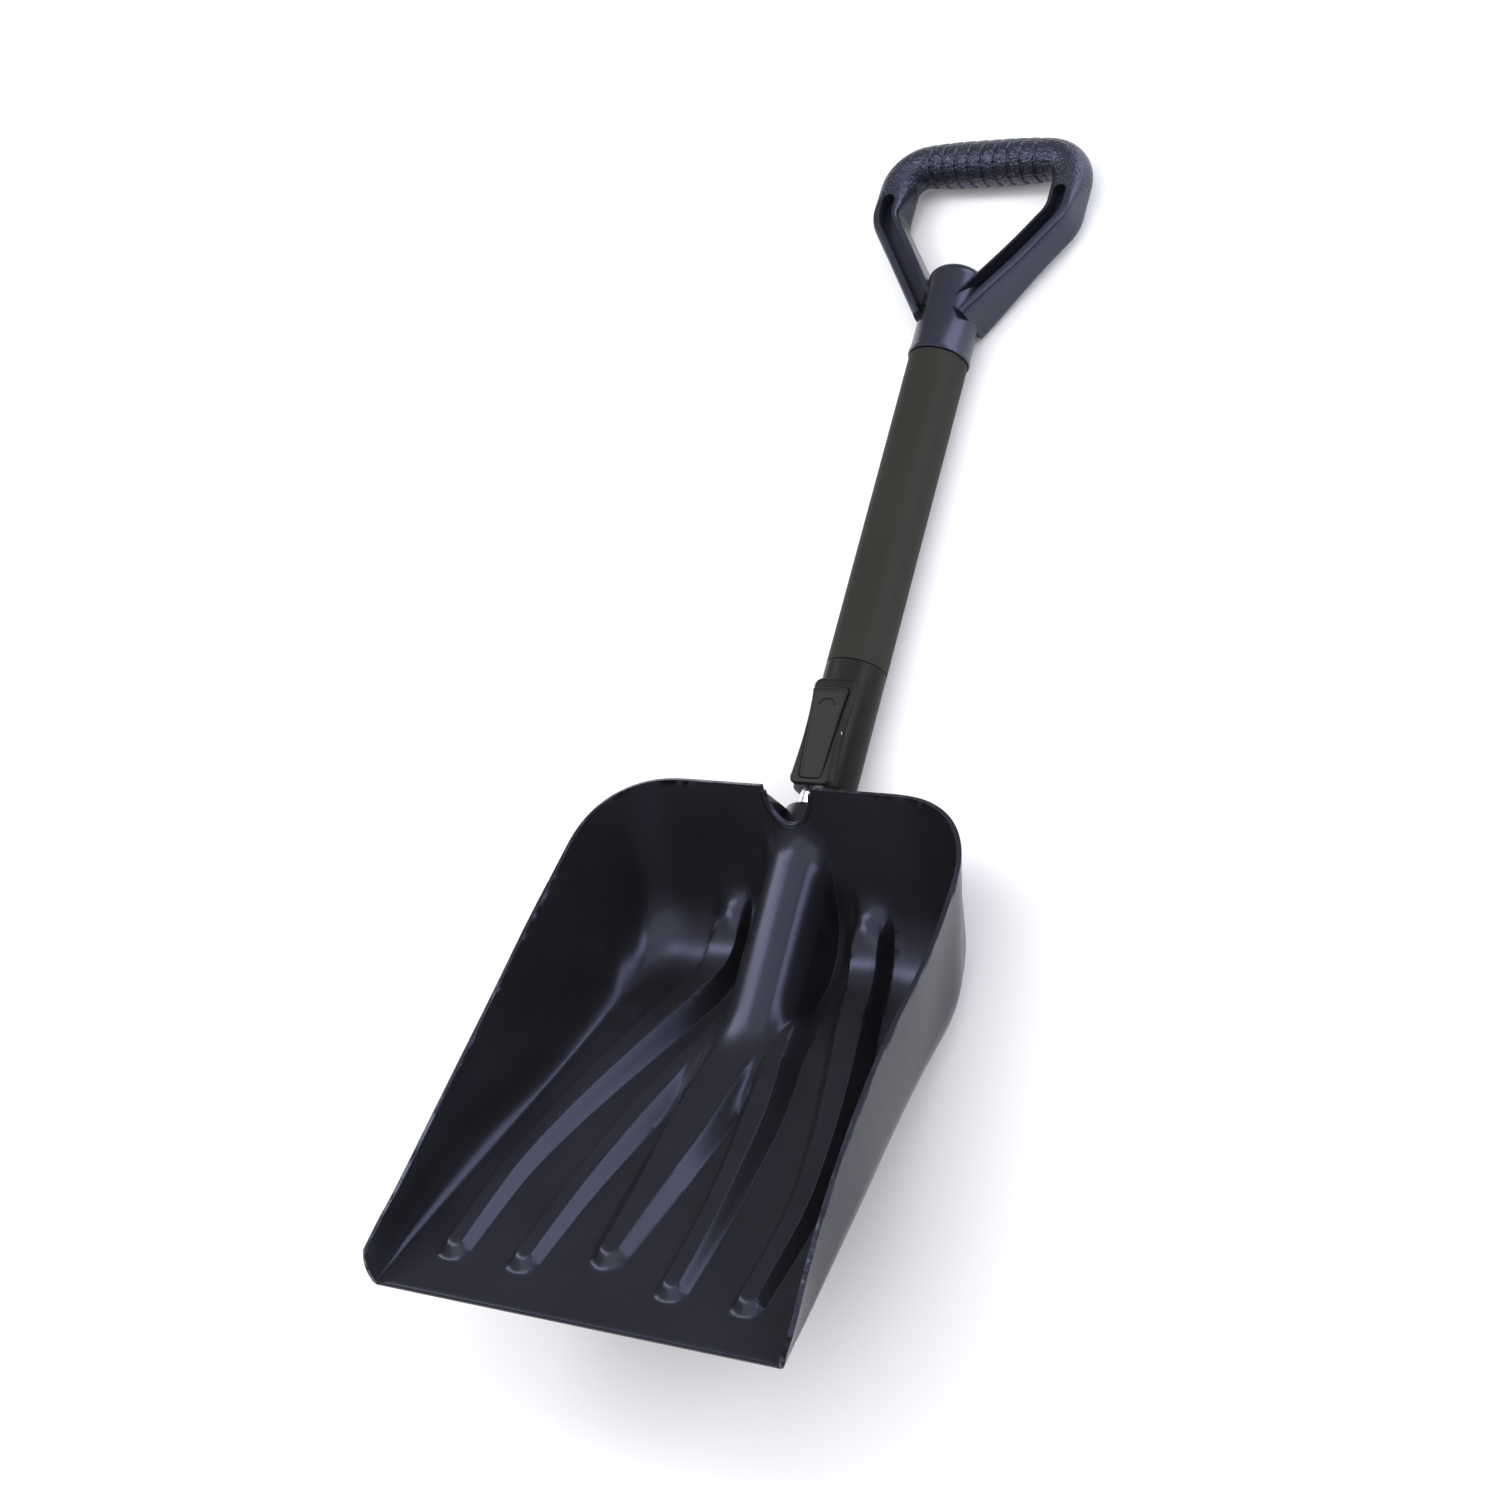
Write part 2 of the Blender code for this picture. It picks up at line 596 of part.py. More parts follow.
def add_scoop(root, along_axis, plastic):
    blade = add_object("blade", scoop_surface(), root, plastic, 40)
    scoop_normal_up(blade)
    wall = blade.modifiers.new("wall", "SOLIDIFY")
    wall.thickness = BLADE_WALL
    wall.offset = -1
    wall.use_even_offset = True
    wall.use_quality_normals = True

    def place_on_axis(shape):
        bmesh.ops.transform(shape, matrix=along_axis, verts=shape.verts)
        return shape

    sleeve = lathe([(0, -SOCKET_FLOOR), (SOCKET_RADIUS, -SOCKET_FLOOR),
                    (SOCKET_RADIUS, SOCKET_DEPTH - SOCKET_TAPER_LENGTH),
                    (SOCKET_MOUTH_RADIUS, SOCKET_DEPTH), (0, SOCKET_DEPTH)], phase=0.5)
    place_on_axis(sleeve)
    cut = bmesh.ops.bisect_plane(sleeve, geom=sleeve.verts[:] + sleeve.edges[:] + sleeve.faces[:],
                                 plane_co=(0, 0, BLADE_WALL / 2), plane_no=(0, 0, 1),
                                 clear_inner=True)
    rim = [item for item in cut["geom_cut"] if isinstance(item, bmesh.types.BMEdge)]
    bmesh.ops.holes_fill(sleeve, edges=rim)
    bmesh.ops.recalc_face_normals(sleeve, faces=sleeve.faces)
    combine(blade, "add_socket_sleeve", sleeve, "UNION")

    wall_y = BLADE_LENGTH + BLADE_WALL / 2
    mouth = along_axis @ Vector((0, 0, SOCKET_DEPTH - 0.002))
    low_z = 0.55 * BLADE_HEIGHT
    low_y = WALL_FOOT + (low_z - BLADE_WALL / 2) * math.tan(REAR_LEAN) + BLADE_WALL / 2
    web = [(wall_y, BLADE_HEIGHT - 0.004), (mouth.y - 0.004, mouth.z + 0.007),
           (mouth.y, mouth.z), (mouth.y - 0.006, low_z), (low_y, low_z)]
    webs = bmesh.new()
    for side in (-1, 1):
        middle = side * GUSSET_OFFSET
        prism(web, middle - GUSSET_THICKNESS / 2, middle + GUSSET_THICKNESS / 2,
              lambda u, v, w: (w, u, v), webs)
    combine(blade, "add_gussets", webs, "UNION")

    bore = lathe([(0, 0), (INNER_TUBE_RADIUS + TOUCH_GAP, 0),
                  (INNER_TUBE_RADIUS + TOUCH_GAP, SOCKET_DEPTH + 0.02), (0, SOCKET_DEPTH + 0.02)],
                 phase=0.25)
    combine(blade, "cut_socket_bore", place_on_axis(bore), "DIFFERENCE")

    arc = [math.pi * k / SMALL_ROUND for k in range(SMALL_ROUND + 1)]
    scallop = [(NOTCH_HALF_WIDTH * math.cos(a), BLADE_HEIGHT - NOTCH_DEPTH * math.sin(a))
               for a in arc]
    scallop += [(-NOTCH_HALF_WIDTH, BLADE_HEIGHT + 0.01), (NOTCH_HALF_WIDTH, BLADE_HEIGHT + 0.01)]
    notch = prism(scallop, BLADE_LENGTH - 0.02, BLADE_LENGTH + BLADE_WALL + 0.0012,
                  lambda u, v, w: (u, w, v))
    combine(blade, "cut_rim_notch", notch, "DIFFERENCE")

    screws = bmesh.new()
    for along in SOCKET_SCREWS:
        prism(circle(SCREW_SHANK_RADIUS + TOUCH_GAP), INNER_TUBE_RADIUS - 0.002,
              SOCKET_RADIUS + 0.01, radial(0, along), screws)
    bmesh.ops.recalc_face_normals(screws, faces=screws.faces)
    combine(blade, "cut_screw_holes", place_on_axis(screws), "DIFFERENCE")
    return blade


SOCKET_SCREWS = (0.060, 0.086)       # up the socket from the foot of the tube
HOUSING_SCREW = 0.008                # above the shoulder of the lock housing
GRIP_SCREW = 0.012                   # below the collar of the grip


def add_screw(name, parent, along, seat, depth, steel):
    """A pan-head screw driven in radially from the back; seat is the radius its head bears on."""
    outline = [(0, seat - depth), (SCREW_SHANK_RADIUS * 0.7, seat - depth),
               (SCREW_SHANK_RADIUS, seat - depth + 0.0008), (SCREW_SHANK_RADIUS, seat + TOUCH_GAP),
               (SCREW_HEAD_RADIUS, seat + TOUCH_GAP),
               (SCREW_HEAD_RADIUS * 0.92, seat + 0.6 * SCREW_HEAD_HEIGHT),
               (SCREW_HEAD_RADIUS * 0.55, seat + SCREW_HEAD_HEIGHT), (0, seat + SCREW_HEAD_HEIGHT)]
    item = add_object(name, lathe(outline, SMALL_ROUND), parent, steel)
    item.location = (0, 0, along)
    item.rotation_euler = (-math.pi / 2, 0, 0)
    return item


# Inner tube -----------------------------------------------------------------------------------

HOUSING_END = HOUSING_START + HOUSING_LENGTH
PIVOT = HOUSING_START + PIVOT_ALONG
LOCK_PIN = PIVOT - LOCK_PIN_ALONG
GUIDE_LENGTH = 0.018


def add_inner_tube(axis, bright, nylon, steel):
    inner = INNER_TUBE_RADIUS - INNER_TUBE_WALL
    item = add_object("inner_tube", tube(inner, INNER_TUBE_RADIUS, TOUCH_GAP, INNER_TUBE_LENGTH),
                      axis, bright)
    holes = bmesh.new()
    for place in range(LOCK_POSITIONS):
        prism(circle(LOCK_PIN_RADIUS + 0.0007), inner - 0.003, INNER_TUBE_RADIUS + 0.003,
              radial(math.pi, LOCK_PIN + place * TRAVEL_STEP), holes)
    for along in SOCKET_SCREWS:
        prism(circle(SCREW_SHANK_RADIUS + TOUCH_GAP), inner - 0.003, INNER_TUBE_RADIUS + 0.003,
              radial(0, along), holes)
    combine(item, "cut_tube_holes", holes, "DIFFERENCE")

    outer = OUTER_TUBE_RADIUS - OUTER_TUBE_WALL - SLIDE_GAP
    seat = INNER_TUBE_RADIUS + TOUCH_GAP
    top = INNER_TUBE_LENGTH + TOUCH_GAP
    vent = 0.004
    guide = lathe([(seat, INNER_TUBE_LENGTH - GUIDE_LENGTH + 0.002),
                   (outer - 0.0008, INNER_TUBE_LENGTH - GUIDE_LENGTH + 0.002),
                   (outer, INNER_TUBE_LENGTH - GUIDE_LENGTH + 0.003), (outer, top + 0.001),
                   (outer - 0.001, top + 0.002), (vent, top + 0.002), (vent, top), (seat, top)])
    add_object("tube_guide", guide, axis, nylon)
    for number, along in enumerate(SOCKET_SCREWS, 1):
        add_screw(f"socket_screw_{number}", axis, along, SOCKET_SCREW_SEATS[number - 1],
                  SOCKET_SCREW_SEATS[number - 1] - INNER_TUBE_RADIUS + 0.003, steel)


def socket_radius(along):
    """Outer radius of the socket sleeve at a distance up from the foot of the tube."""
    start = SOCKET_DEPTH - SOCKET_TAPER_LENGTH
    share = min(max((along - start) / SOCKET_TAPER_LENGTH, 0.0), 1.0)
    return SOCKET_RADIUS + (SOCKET_MOUTH_RADIUS - SOCKET_RADIUS) * share


SOCKET_SCREW_SEATS = [socket_radius(along - SCREW_HEAD_RADIUS) for along in SOCKET_SCREWS]


# Outer tube and lock --------------------------------------------------------------------------

def add_outer_tube(axis, painted, steel):
    inner = OUTER_TUBE_RADIUS - OUTER_TUBE_WALL
    low = HOUSING_END + TOUCH_GAP
    item = add_object("outer_tube", tube(inner, OUTER_TUBE_RADIUS, low, low + OUTER_TUBE_LENGTH),
                      axis, painted)
    holes = bmesh.new()
    for along in (HOUSING_END + HOUSING_SCREW, COLLAR - GRIP_SCREW):
        prism(circle(SCREW_SHANK_RADIUS + TOUCH_GAP), inner - 0.003, OUTER_TUBE_RADIUS + 0.003,
              radial(0, along), holes)
    combine(item, "cut_screw_holes_outer", holes, "DIFFERENCE")
    add_screw("housing_screw", axis, HOUSING_END + HOUSING_SCREW, OUTER_TUBE_RADIUS, 0.0035, steel)
    add_screw("grip_screw", axis, COLLAR - GRIP_SCREW, OUTER_TUBE_RADIUS, 0.0045, steel)


COLLAR = HOUSING_END + TOUCH_GAP + OUTER_TUBE_LENGTH + TOUCH_GAP


def waisted(low, waist_at, high, low_width, waist, high_width, corner, steps=6):
    """A long outline, narrower at its waist, with round corners: (across, along) points."""
    def width(along):
        knots = ((low, low_width), (waist_at, waist), (high, high_width))
        return smooth_curve(knots, along)
    right = []
    for k in range(steps + 1):
        turn = math.pi / 2 * k / steps
        right.append((width(low) - corner + corner * math.sin(turn),
                      low + corner - corner * math.cos(turn)))
    for k in range(1, 2 * steps):
        along = low + corner + (high - low - 2 * corner) * k / (2 * steps)
        right.append((width(along), along))
    for k in range(steps + 1):
        turn = math.pi / 2 * k / steps
        right.append((width(high) - corner + corner * math.cos(turn),
                      high - corner + corner * math.sin(turn)))
    return right + [(-across, along) for across, along in reversed(right)]


def lever_outline(grow):
    low = PIVOT - LEVER_LOWER - grow
    high = PIVOT + LEVER_UPPER + grow
    waist = (LEVER_LOWER_WIDTH + LEVER_UPPER_WIDTH) / 2
    return waisted(low, PIVOT, high, LEVER_LOWER_WIDTH + grow, waist + grow,
                   LEVER_UPPER_WIDTH + grow, 0.0024 + grow)


def add_lock_housing(axis, plastic):
    bore = INNER_TUBE_RADIUS + SLIDE_GAP
    spigot = OUTER_TUBE_RADIUS - OUTER_TUBE_WALL - TOUCH_GAP
    edge = 0.0008
    low, high = HOUSING_START, HOUSING_END
    body = lathe([(bore + edge, low), (OUTER_TUBE_RADIUS - edge, low),
                  (OUTER_TUBE_RADIUS, low + edge), (OUTER_TUBE_RADIUS, high), (spigot, high),
                  (spigot, high + HOUSING_SPIGOT - edge), (spigot - edge, high + HOUSING_SPIGOT),
                  (bore, high + HOUSING_SPIGOT), (bore, low + edge)])
    item = add_object("lock_housing", body, axis, plastic)

    block_top = PIVOT + LEVER_UPPER + BLOCK_TOP_MARGIN
    outline = waisted(low - BLOCK_OVERHANG, PIVOT, block_top, BLOCK_END_WIDTH, BLOCK_WAIST,
                      BLOCK_END_WIDTH, 0.0045)
    block = prism(outline, bore + 0.0006, BLOCK_HEIGHT, facing)
    rim = [edge_ for edge_ in block.edges if all(v.co.y < -BLOCK_HEIGHT + 1e-6 for v in edge_.verts)]
    bmesh.ops.recalc_face_normals(block, faces=block.faces)
    bmesh.ops.bevel(block, geom=rim, offset=0.0012, segments=2, profile=0.5, affect="EDGES")
    combine(item, "add_lock_block", block, "UNION")

    cuts = prism(lever_outline(LEVER_GAP), POCKET_FLOOR, BLOCK_HEIGHT + 0.006, facing)
    combine(item, "cut_lever_pocket", cuts, "DIFFERENCE")

    trench_half = HINGE_BOSS_RADIUS + LEVER_GAP
    reach = (LEVER_LOWER_WIDTH + LEVER_UPPER_WIDTH) / 2
    trench = [(PIVOT - trench_half, POCKET_FLOOR + 0.001), (PIVOT - trench_half, bore - 0.0006),
              (PIVOT + trench_half, bore - 0.0006), (PIVOT + trench_half, POCKET_FLOOR + 0.001)]
    combine(item, "cut_hinge_trench", prism(trench, -reach, reach, sideways), "DIFFERENCE")

    cross = prism(circle(PIVOT_PIN_RADIUS + TOUCH_GAP, (PIVOT, PIVOT_HEIGHT)), -0.02, 0.02, sideways)
    combine(item, "cut_pivot_hole", cross, "DIFFERENCE")

    wells = prism(circle(LOCK_PIN_RADIUS + 0.0007, (0, LOCK_PIN)), bore - 0.004,
                  POCKET_FLOOR + 0.001, facing)
    prism(circle(SPRING_RADIUS + 3 * SPRING_WIRE, (0, PIVOT + SPRING_ALONG)),
          SPRING_SEAT - TOUCH_GAP, POCKET_FLOOR + 0.001, facing, wells)
    combine(item, "cut_pin_and_spring_wells", wells, "DIFFERENCE")

    screw = prism(circle(SCREW_SHANK_RADIUS + TOUCH_GAP), bore + 0.0004, OUTER_TUBE_RADIUS,
                  radial(0, high + HOUSING_SCREW))
    combine(item, "cut_housing_screw", screw, "DIFFERENCE")
    return item


SPRING_SEAT = POCKET_FLOOR - 0.0009


def lever_top(along):
    """Height of the rocker's face over the tube axis; along counts from the cross pin."""
    knots = ((-LEVER_LOWER, BLOCK_HEIGHT - 0.0003), (0.0, BLOCK_HEIGHT + 0.0012),
             (LEVER_UPPER, BLOCK_HEIGHT + LEVER_PROUD))
    return smooth_curve(knots, along)


def add_lever(pivot, plastic, steel, spring_steel):
    """The rocker, in a frame whose origin is on the cross pin's axis."""
    round_end = 0.0026
    steps = 12
    face = []
    for k in range(steps + 1):
        along = -LEVER_LOWER + (LEVER_LOWER + LEVER_UPPER) * k / steps
        drop = max(along - (LEVER_UPPER - round_end), 0) / round_end
        face.append((along, lever_top(along) - PIVOT_HEIGHT - 0.0014 * drop**2))
    under = [(LEVER_UPPER, BLOCK_HEIGHT - PIVOT_HEIGHT - 0.0002),
             (HINGE_BOSS_RADIUS, PIVOT_PIN_RADIUS + 0.0004),
             (-HINGE_BOSS_RADIUS, PIVOT_PIN_RADIUS + 0.0004),
             (-LEVER_LOWER, POCKET_FLOOR + LEVER_GAP - PIVOT_HEIGHT)]
    item = add_object("lock_lever", prism(face + under, -0.02, 0.02, sideways), pivot, plastic)

    outline = [(across, along - PIVOT) for across, along in lever_outline(0.0)]
    combine(item, "trim_lever_sides", prism(outline, -0.01, 0.02, facing), "INTERSECT")
    boss = prism(circle(HINGE_BOSS_RADIUS), -0.0045, 0.0045, sideways)
    combine(item, "add_hinge_boss", boss, "UNION")
    cross = prism(circle(PIVOT_PIN_RADIUS + TOUCH_GAP), -0.02, 0.02, sideways)
    combine(item, "cut_lever_pivot", cross, "DIFFERENCE")

    pin_top = BLOCK_HEIGHT - 0.0019 - PIVOT_HEIGHT
    spring_top = SPRING_SEAT + SPRING_LENGTH - PIVOT_HEIGHT
    wells = prism(circle(LOCK_PIN_RADIUS + TOUCH_GAP, (0, -LOCK_PIN_ALONG)), -0.01,
                  pin_top + TOUCH_GAP, facing)
    prism(circle(SPRING_RADIUS + 2.4 * SPRING_WIRE, (0, SPRING_ALONG)), -0.01,
          spring_top + TOUCH_GAP, facing, wells)
    combine(item, "cut_lever_wells", wells, "DIFFERENCE")

    tip = INNER_TUBE_RADIUS - LOCK_PIN_BITE - PIVOT_HEIGHT
    pin = lathe([(0, tip), (LOCK_PIN_RADIUS - 0.0007, tip), (LOCK_PIN_RADIUS, tip + 0.0007),
                 (LOCK_PIN_RADIUS, pin_top), (0, pin_top)], SMALL_ROUND)
    lock_pin = add_object("lock_pin", pin, pivot, steel)
    lock_pin.location = (0, 0, -LOCK_PIN_ALONG)
    lock_pin.rotation_euler = (math.pi / 2, 0, 0)

    coil = bpy.data.curves.new("lever_spring", "CURVE")
    coil.dimensions = "3D"
    coil.bevel_depth = SPRING_WIRE
    coil.bevel_resolution = 1
    coil.use_fill_caps = True
    line = coil.splines.new("POLY")
    per_turn = 12
    count = per_turn * SPRING_TURNS + 1
    line.points.add(count - 1)
    low = SPRING_SEAT + SPRING_WIRE
    rise = SPRING_LENGTH - 2 * SPRING_WIRE
    for k in range(count):
        turn = 2 * math.pi * k / per_turn
        height = low + rise * k / (count - 1) - PIVOT_HEIGHT
        line.points[k].co = (SPRING_RADIUS * math.cos(turn), -height,
                             SPRING_ALONG + SPRING_RADIUS * math.sin(turn), 1)
    coil.materials.append(spring_steel)
    spring = bpy.data.objects.new("lever_spring", coil)
    spring.parent = pivot
    bpy.context.scene.collection.objects.link(spring)


def add_pivot_pin(axis, steel):
    half = BLOCK_WAIST - 0.0004
    pin = lathe([(0, -half), (PIVOT_PIN_RADIUS, -half), (PIVOT_PIN_RADIUS, half), (0, half)],
                SMALL_ROUND)
    item = add_object("lever_pivot_pin", pin, axis, steel)
    item.location = (0, -PIVOT_HEIGHT, PIVOT)
    item.rotation_euler = (0, math.pi / 2, 0)


# Grip -----------------------------------------------------------------------------------------

def grip_path():
    """The middle line of one half of the loop, from inside the socket to the middle of the bar.

    Each entry is (x, z, heading), z from the collar, heading from straight up, turning inward.
    """
    bar = GRIP_HEIGHT
    tangent = GRIP_ARM_BEND * math.tan(ARM_ANGLE / 2)
    arm_top = ARM_BEND_AT + tangent
    bend_low = (GRIP_HALF_WIDTH - tangent * math.sin(ARM_ANGLE),
                arm_top - tangent - tangent * math.cos(ARM_ANGLE))
    start_x = 0.010
    run = (bend_low[0] - start_x) / math.sin(ARM_ANGLE)
    path = []
    for k in range(6):
        back = run * (1 - k / 6)
        path.append((bend_low[0] - back * math.sin(ARM_ANGLE),
                     bend_low[1] - back * math.cos(ARM_ANGLE), -ARM_ANGLE))
    for k in range(5):
        turn = -ARM_ANGLE * (1 - k / 4)
        path.append((GRIP_HALF_WIDTH - GRIP_ARM_BEND * (1 - math.cos(turn)),
                     arm_top + GRIP_ARM_BEND * math.sin(turn), turn))
    bend_z = bar - GRIP_TOP_BEND
    for k in range(9):
        turn = math.pi / 2 * k / 8
        path.append((GRIP_HALF_WIDTH - GRIP_TOP_BEND * (1 - math.cos(turn)),
                     bend_z + GRIP_TOP_BEND * math.sin(turn), turn))
    return path


def grip_section(z, x):
    """Half width, half depth and squareness of the loop's section."""
    arm = 1 - ease((z - (SLOT_TOP - 0.012)) / 0.016)
    swell = math.cos(math.pi / 2 * min(abs(x) / GRIP_HALF_WIDTH, 1))
    round_radius = GRIP_SHOULDER_RADIUS + (GRIP_BAR_RADIUS - GRIP_SHOULDER_RADIUS) * ease(swell)
    width = round_radius + (ARM_HALF_WIDTH - round_radius) * arm
    depth = round_radius + (ARM_HALF_DEPTH - round_radius) * arm
    return width, depth, 1.0 - 0.68 * arm


def bar_stations():
    """Places across the bar, from one bend to the other, with the depth of the groove at each."""
    half = GRIP_HALF_WIDTH - GRIP_TOP_BEND
    stations = []
    for number in range(GROOVES):
        middle = (number - (GROOVES - 1) / 2) * GROOVE_PITCH
        if abs(middle) > half - 0.002:
            continue
        stations += [(middle - 0.0012, 0.0), (middle, GROOVE_DEPTH), (middle + 0.0012, 0.0)]
    return stations


def add_grip(axis, plastic):
    sides = 20
    shape = bmesh.new()
    rings = []

    def ring(x, z, heading, shrink=0.0):
        width, depth, roundness = grip_section(z, x)
        across = Vector((math.cos(heading), 0, math.sin(heading)))
        points = []
        for k in range(sides):
            turn = 2 * math.pi * (k + 0.5) / sides
            c, s = math.cos(turn), math.sin(turn)
            u = math.copysign(abs(c)**roundness, c) * (width - shrink)
            w = math.copysign(abs(s)**roundness, s) * (depth - shrink)
            points.append(shape.verts.new(Vector((x, 0, z)) + across * u + Vector((0, w, 0))))
        rings.append(points)

    right = grip_path()
    for x, z, heading in right:
        ring(x, z, heading)
    for x, shrink in reversed(bar_stations()):
        ring(x, GRIP_HEIGHT, math.pi / 2, shrink)
    for x, z, heading in reversed(right):
        ring(-x, z, math.pi - heading)
    for one, two in zip(rings, rings[1:]):
        for k in range(sides):
            n = (k + 1) % sides
            shape.faces.new([one[k], one[n], two[n], two[k]])
    shape.faces.new(rings[0])
    shape.faces.new(rings[-1])
    item = add_object("d_grip", shape, axis, plastic, 40)
    item.location = (0, 0, COLLAR)

    spigot = OUTER_TUBE_RADIUS - OUTER_TUBE_WALL - TOUCH_GAP
    dome_steps = 5
    outline = [(0, -GRIP_SPIGOT), (spigot - 0.001, -GRIP_SPIGOT), (spigot, -GRIP_SPIGOT + 0.002),
               (spigot, 0.0), (COLLAR_RADIUS + COLLAR_BEAD, 0.0),
               (COLLAR_RADIUS + COLLAR_BEAD, COLLAR_BEAD_LENGTH),
               (COLLAR_RADIUS, COLLAR_BEAD_LENGTH + 2 * COLLAR_BEAD)]
    for k in range(dome_steps):
        turn = math.pi / 2 * k / dome_steps
        outline.append((COLLAR_RADIUS * math.cos(turn),
                        GRIP_SOCKET_LENGTH + GRIP_DOME * math.sin(turn)))
    outline.append((0, GRIP_SOCKET_LENGTH + GRIP_DOME))
    combine(item, "add_grip_socket", lathe(outline), "UNION")

    combine(item, "cut_arm_recesses", arm_recesses(right), "DIFFERENCE")
    core = lathe([(0, -GRIP_SPIGOT - 0.005), (GRIP_BORE_RADIUS, -GRIP_SPIGOT - 0.005),
                  (GRIP_BORE_RADIUS, GRIP_BORE_DEPTH - 0.004),
                  (GRIP_BORE_RADIUS - 0.004, GRIP_BORE_DEPTH), (0, GRIP_BORE_DEPTH)],
                 phase=0.5)
    combine(item, "cut_grip_core", core, "DIFFERENCE")
    hole = prism(circle(SCREW_SHANK_RADIUS + TOUCH_GAP), GRIP_BORE_RADIUS - 0.003,
                 OUTER_TUBE_RADIUS, radial(0, -GRIP_SCREW))
    combine(item, "cut_grip_screw", hole, "DIFFERENCE")
    return item


def arm_recesses(path):
    """Four cutters: the channel in each arm, front and back, round at its top end."""
    half = ARM_HALF_WIDTH - (ARM_INNER_FLANGE + ARM_OUTER_FLANGE) / 2
    inward = (ARM_OUTER_FLANGE - ARM_INNER_FLANGE) / 2
    line = [(x, z, heading) for x, z, heading in path if z < SLOT_TOP - half and x > COLLAR_RADIUS]
    last_x, last_z, last_heading = line[-1]
    step = SLOT_TOP - half - last_z
    line.append((min(last_x + step * math.tan(-last_heading), GRIP_HALF_WIDTH), SLOT_TOP - half, 0))
    line = [(x - inward * math.cos(h), z - inward * math.sin(h), h) for x, z, h in line]
    inner = [(x - half * math.cos(h), z - half * math.sin(h)) for x, z, h in line]
    outer = [(x + half * math.cos(h), z + half * math.sin(h)) for x, z, h in line]
    top_x, top_z, _ = line[-1]
    cap = [(top_x + half * math.cos(a), top_z + half * math.sin(a))
           for a in (math.pi * k / 8 for k in range(1, 8))]
    outline = outer + cap + list(reversed(inner))
    cutters = bmesh.new()
    for side in (-1, 1):
        shaped = [(side * x, z) for x, z in outline]
        prism(shaped, ARM_WEB / 2, 0.03, facing, cutters)
        prism(shaped, -0.03, -ARM_WEB / 2, facing, cutters)
    bmesh.ops.recalc_face_normals(cutters, faces=cutters.faces)
    return cutters


# Whole shovel ---------------------------------------------------------------------------------

def resting_frame():
    """Lay the shovel on its heel and its grip, centred on the ground under it."""
    outer_heel = HEEL_RADIUS + BLADE_WALL
    heel = Vector((FLOOR_END, outer_heel))
    along = Vector((math.cos(HANDLE_ANGLE), math.sin(HANDLE_ANGLE)))
    up = Vector((-along.y, along.x))
    foot = Vector((FOOT_Y, FOOT_HEIGHT))
    rests = [(COLLAR + COLLAR_BEAD_LENGTH, COLLAR_RADIUS + COLLAR_BEAD),
             (COLLAR + GRIP_SOCKET_LENGTH, COLLAR_RADIUS)]
    lays = []
    for place, reach in rests:
        rest = foot + along * place - up * reach
        span = rest - heel
        lays.append((math.atan2(span.y, span.x) + math.asin(outer_heel / span.length), rest))
    tilt, rest = min(lays, key=lambda lay: lay[0])
    turn = Matrix.Rotation(-tilt, 4, "X")
    bar = turn @ Vector((0, *(foot + along * (COLLAR + GRIP_HEIGHT))))
    drop = (turn @ Vector((0, *rest))).z
    rear = bar.y + GRIP_BAR_RADIUS
    return Matrix.Translation((0, -rear / 2, -drop)) @ turn


def build():
    clear_scene()
    scoop_plastic = make_material("scoop_plastic", (0.022, 0.022, 0.032), 0.28, 0.0)
    grip_plastic = make_material("grip_plastic", (0.020, 0.020, 0.030), 0.34, 0.0)
    lock_plastic = make_material("lock_plastic", (0.012, 0.012, 0.011), 0.36, 0.0)
    lever_plastic = make_material("lever_plastic", (0.016, 0.015, 0.014), 0.45, 0.0)
    nylon = make_material("guide_nylon", (0.55, 0.55, 0.52), 0.5, 0.0)
    tube_paint = make_material("tube_paint", (0.042, 0.038, 0.033), 0.42, 0.0)
    bright = make_material("bright_tube", (0.82, 0.83, 0.84), 0.18, 1.0)
    steel = make_material("screw_steel", (0.60, 0.60, 0.60), 0.3, 1.0)
    spring_steel = make_material("spring_steel", (0.45, 0.45, 0.46), 0.35, 1.0)

    root = add_empty("shovel", None, resting_frame())
    axis_in_scoop = (Matrix.Translation((0, FOOT_Y, FOOT_HEIGHT))
                     @ Matrix.Rotation(HANDLE_ANGLE - math.pi / 2, 4, "X"))
    axis = add_empty("handle_axis", root, axis_in_scoop)
    pivot = add_empty("lever_pivot", axis, Matrix.Translation((0, -PIVOT_HEIGHT, PIVOT)))

    add_scoop(root, axis_in_scoop, scoop_plastic)
    add_inner_tube(axis, bright, nylon, steel)
    add_outer_tube(axis, tube_paint, steel)
    add_lock_housing(axis, lock_plastic)
    add_lever(pivot, lever_plastic, steel, spring_steel)
    add_pivot_pin(axis, steel)
    add_grip(axis, grip_plastic)


build()
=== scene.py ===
"""A short telescoping snow shovel, pushed together and laid on its heel and its grip."""

import json
import math

import bmesh
import bpy
from mathutils import Matrix, Vector


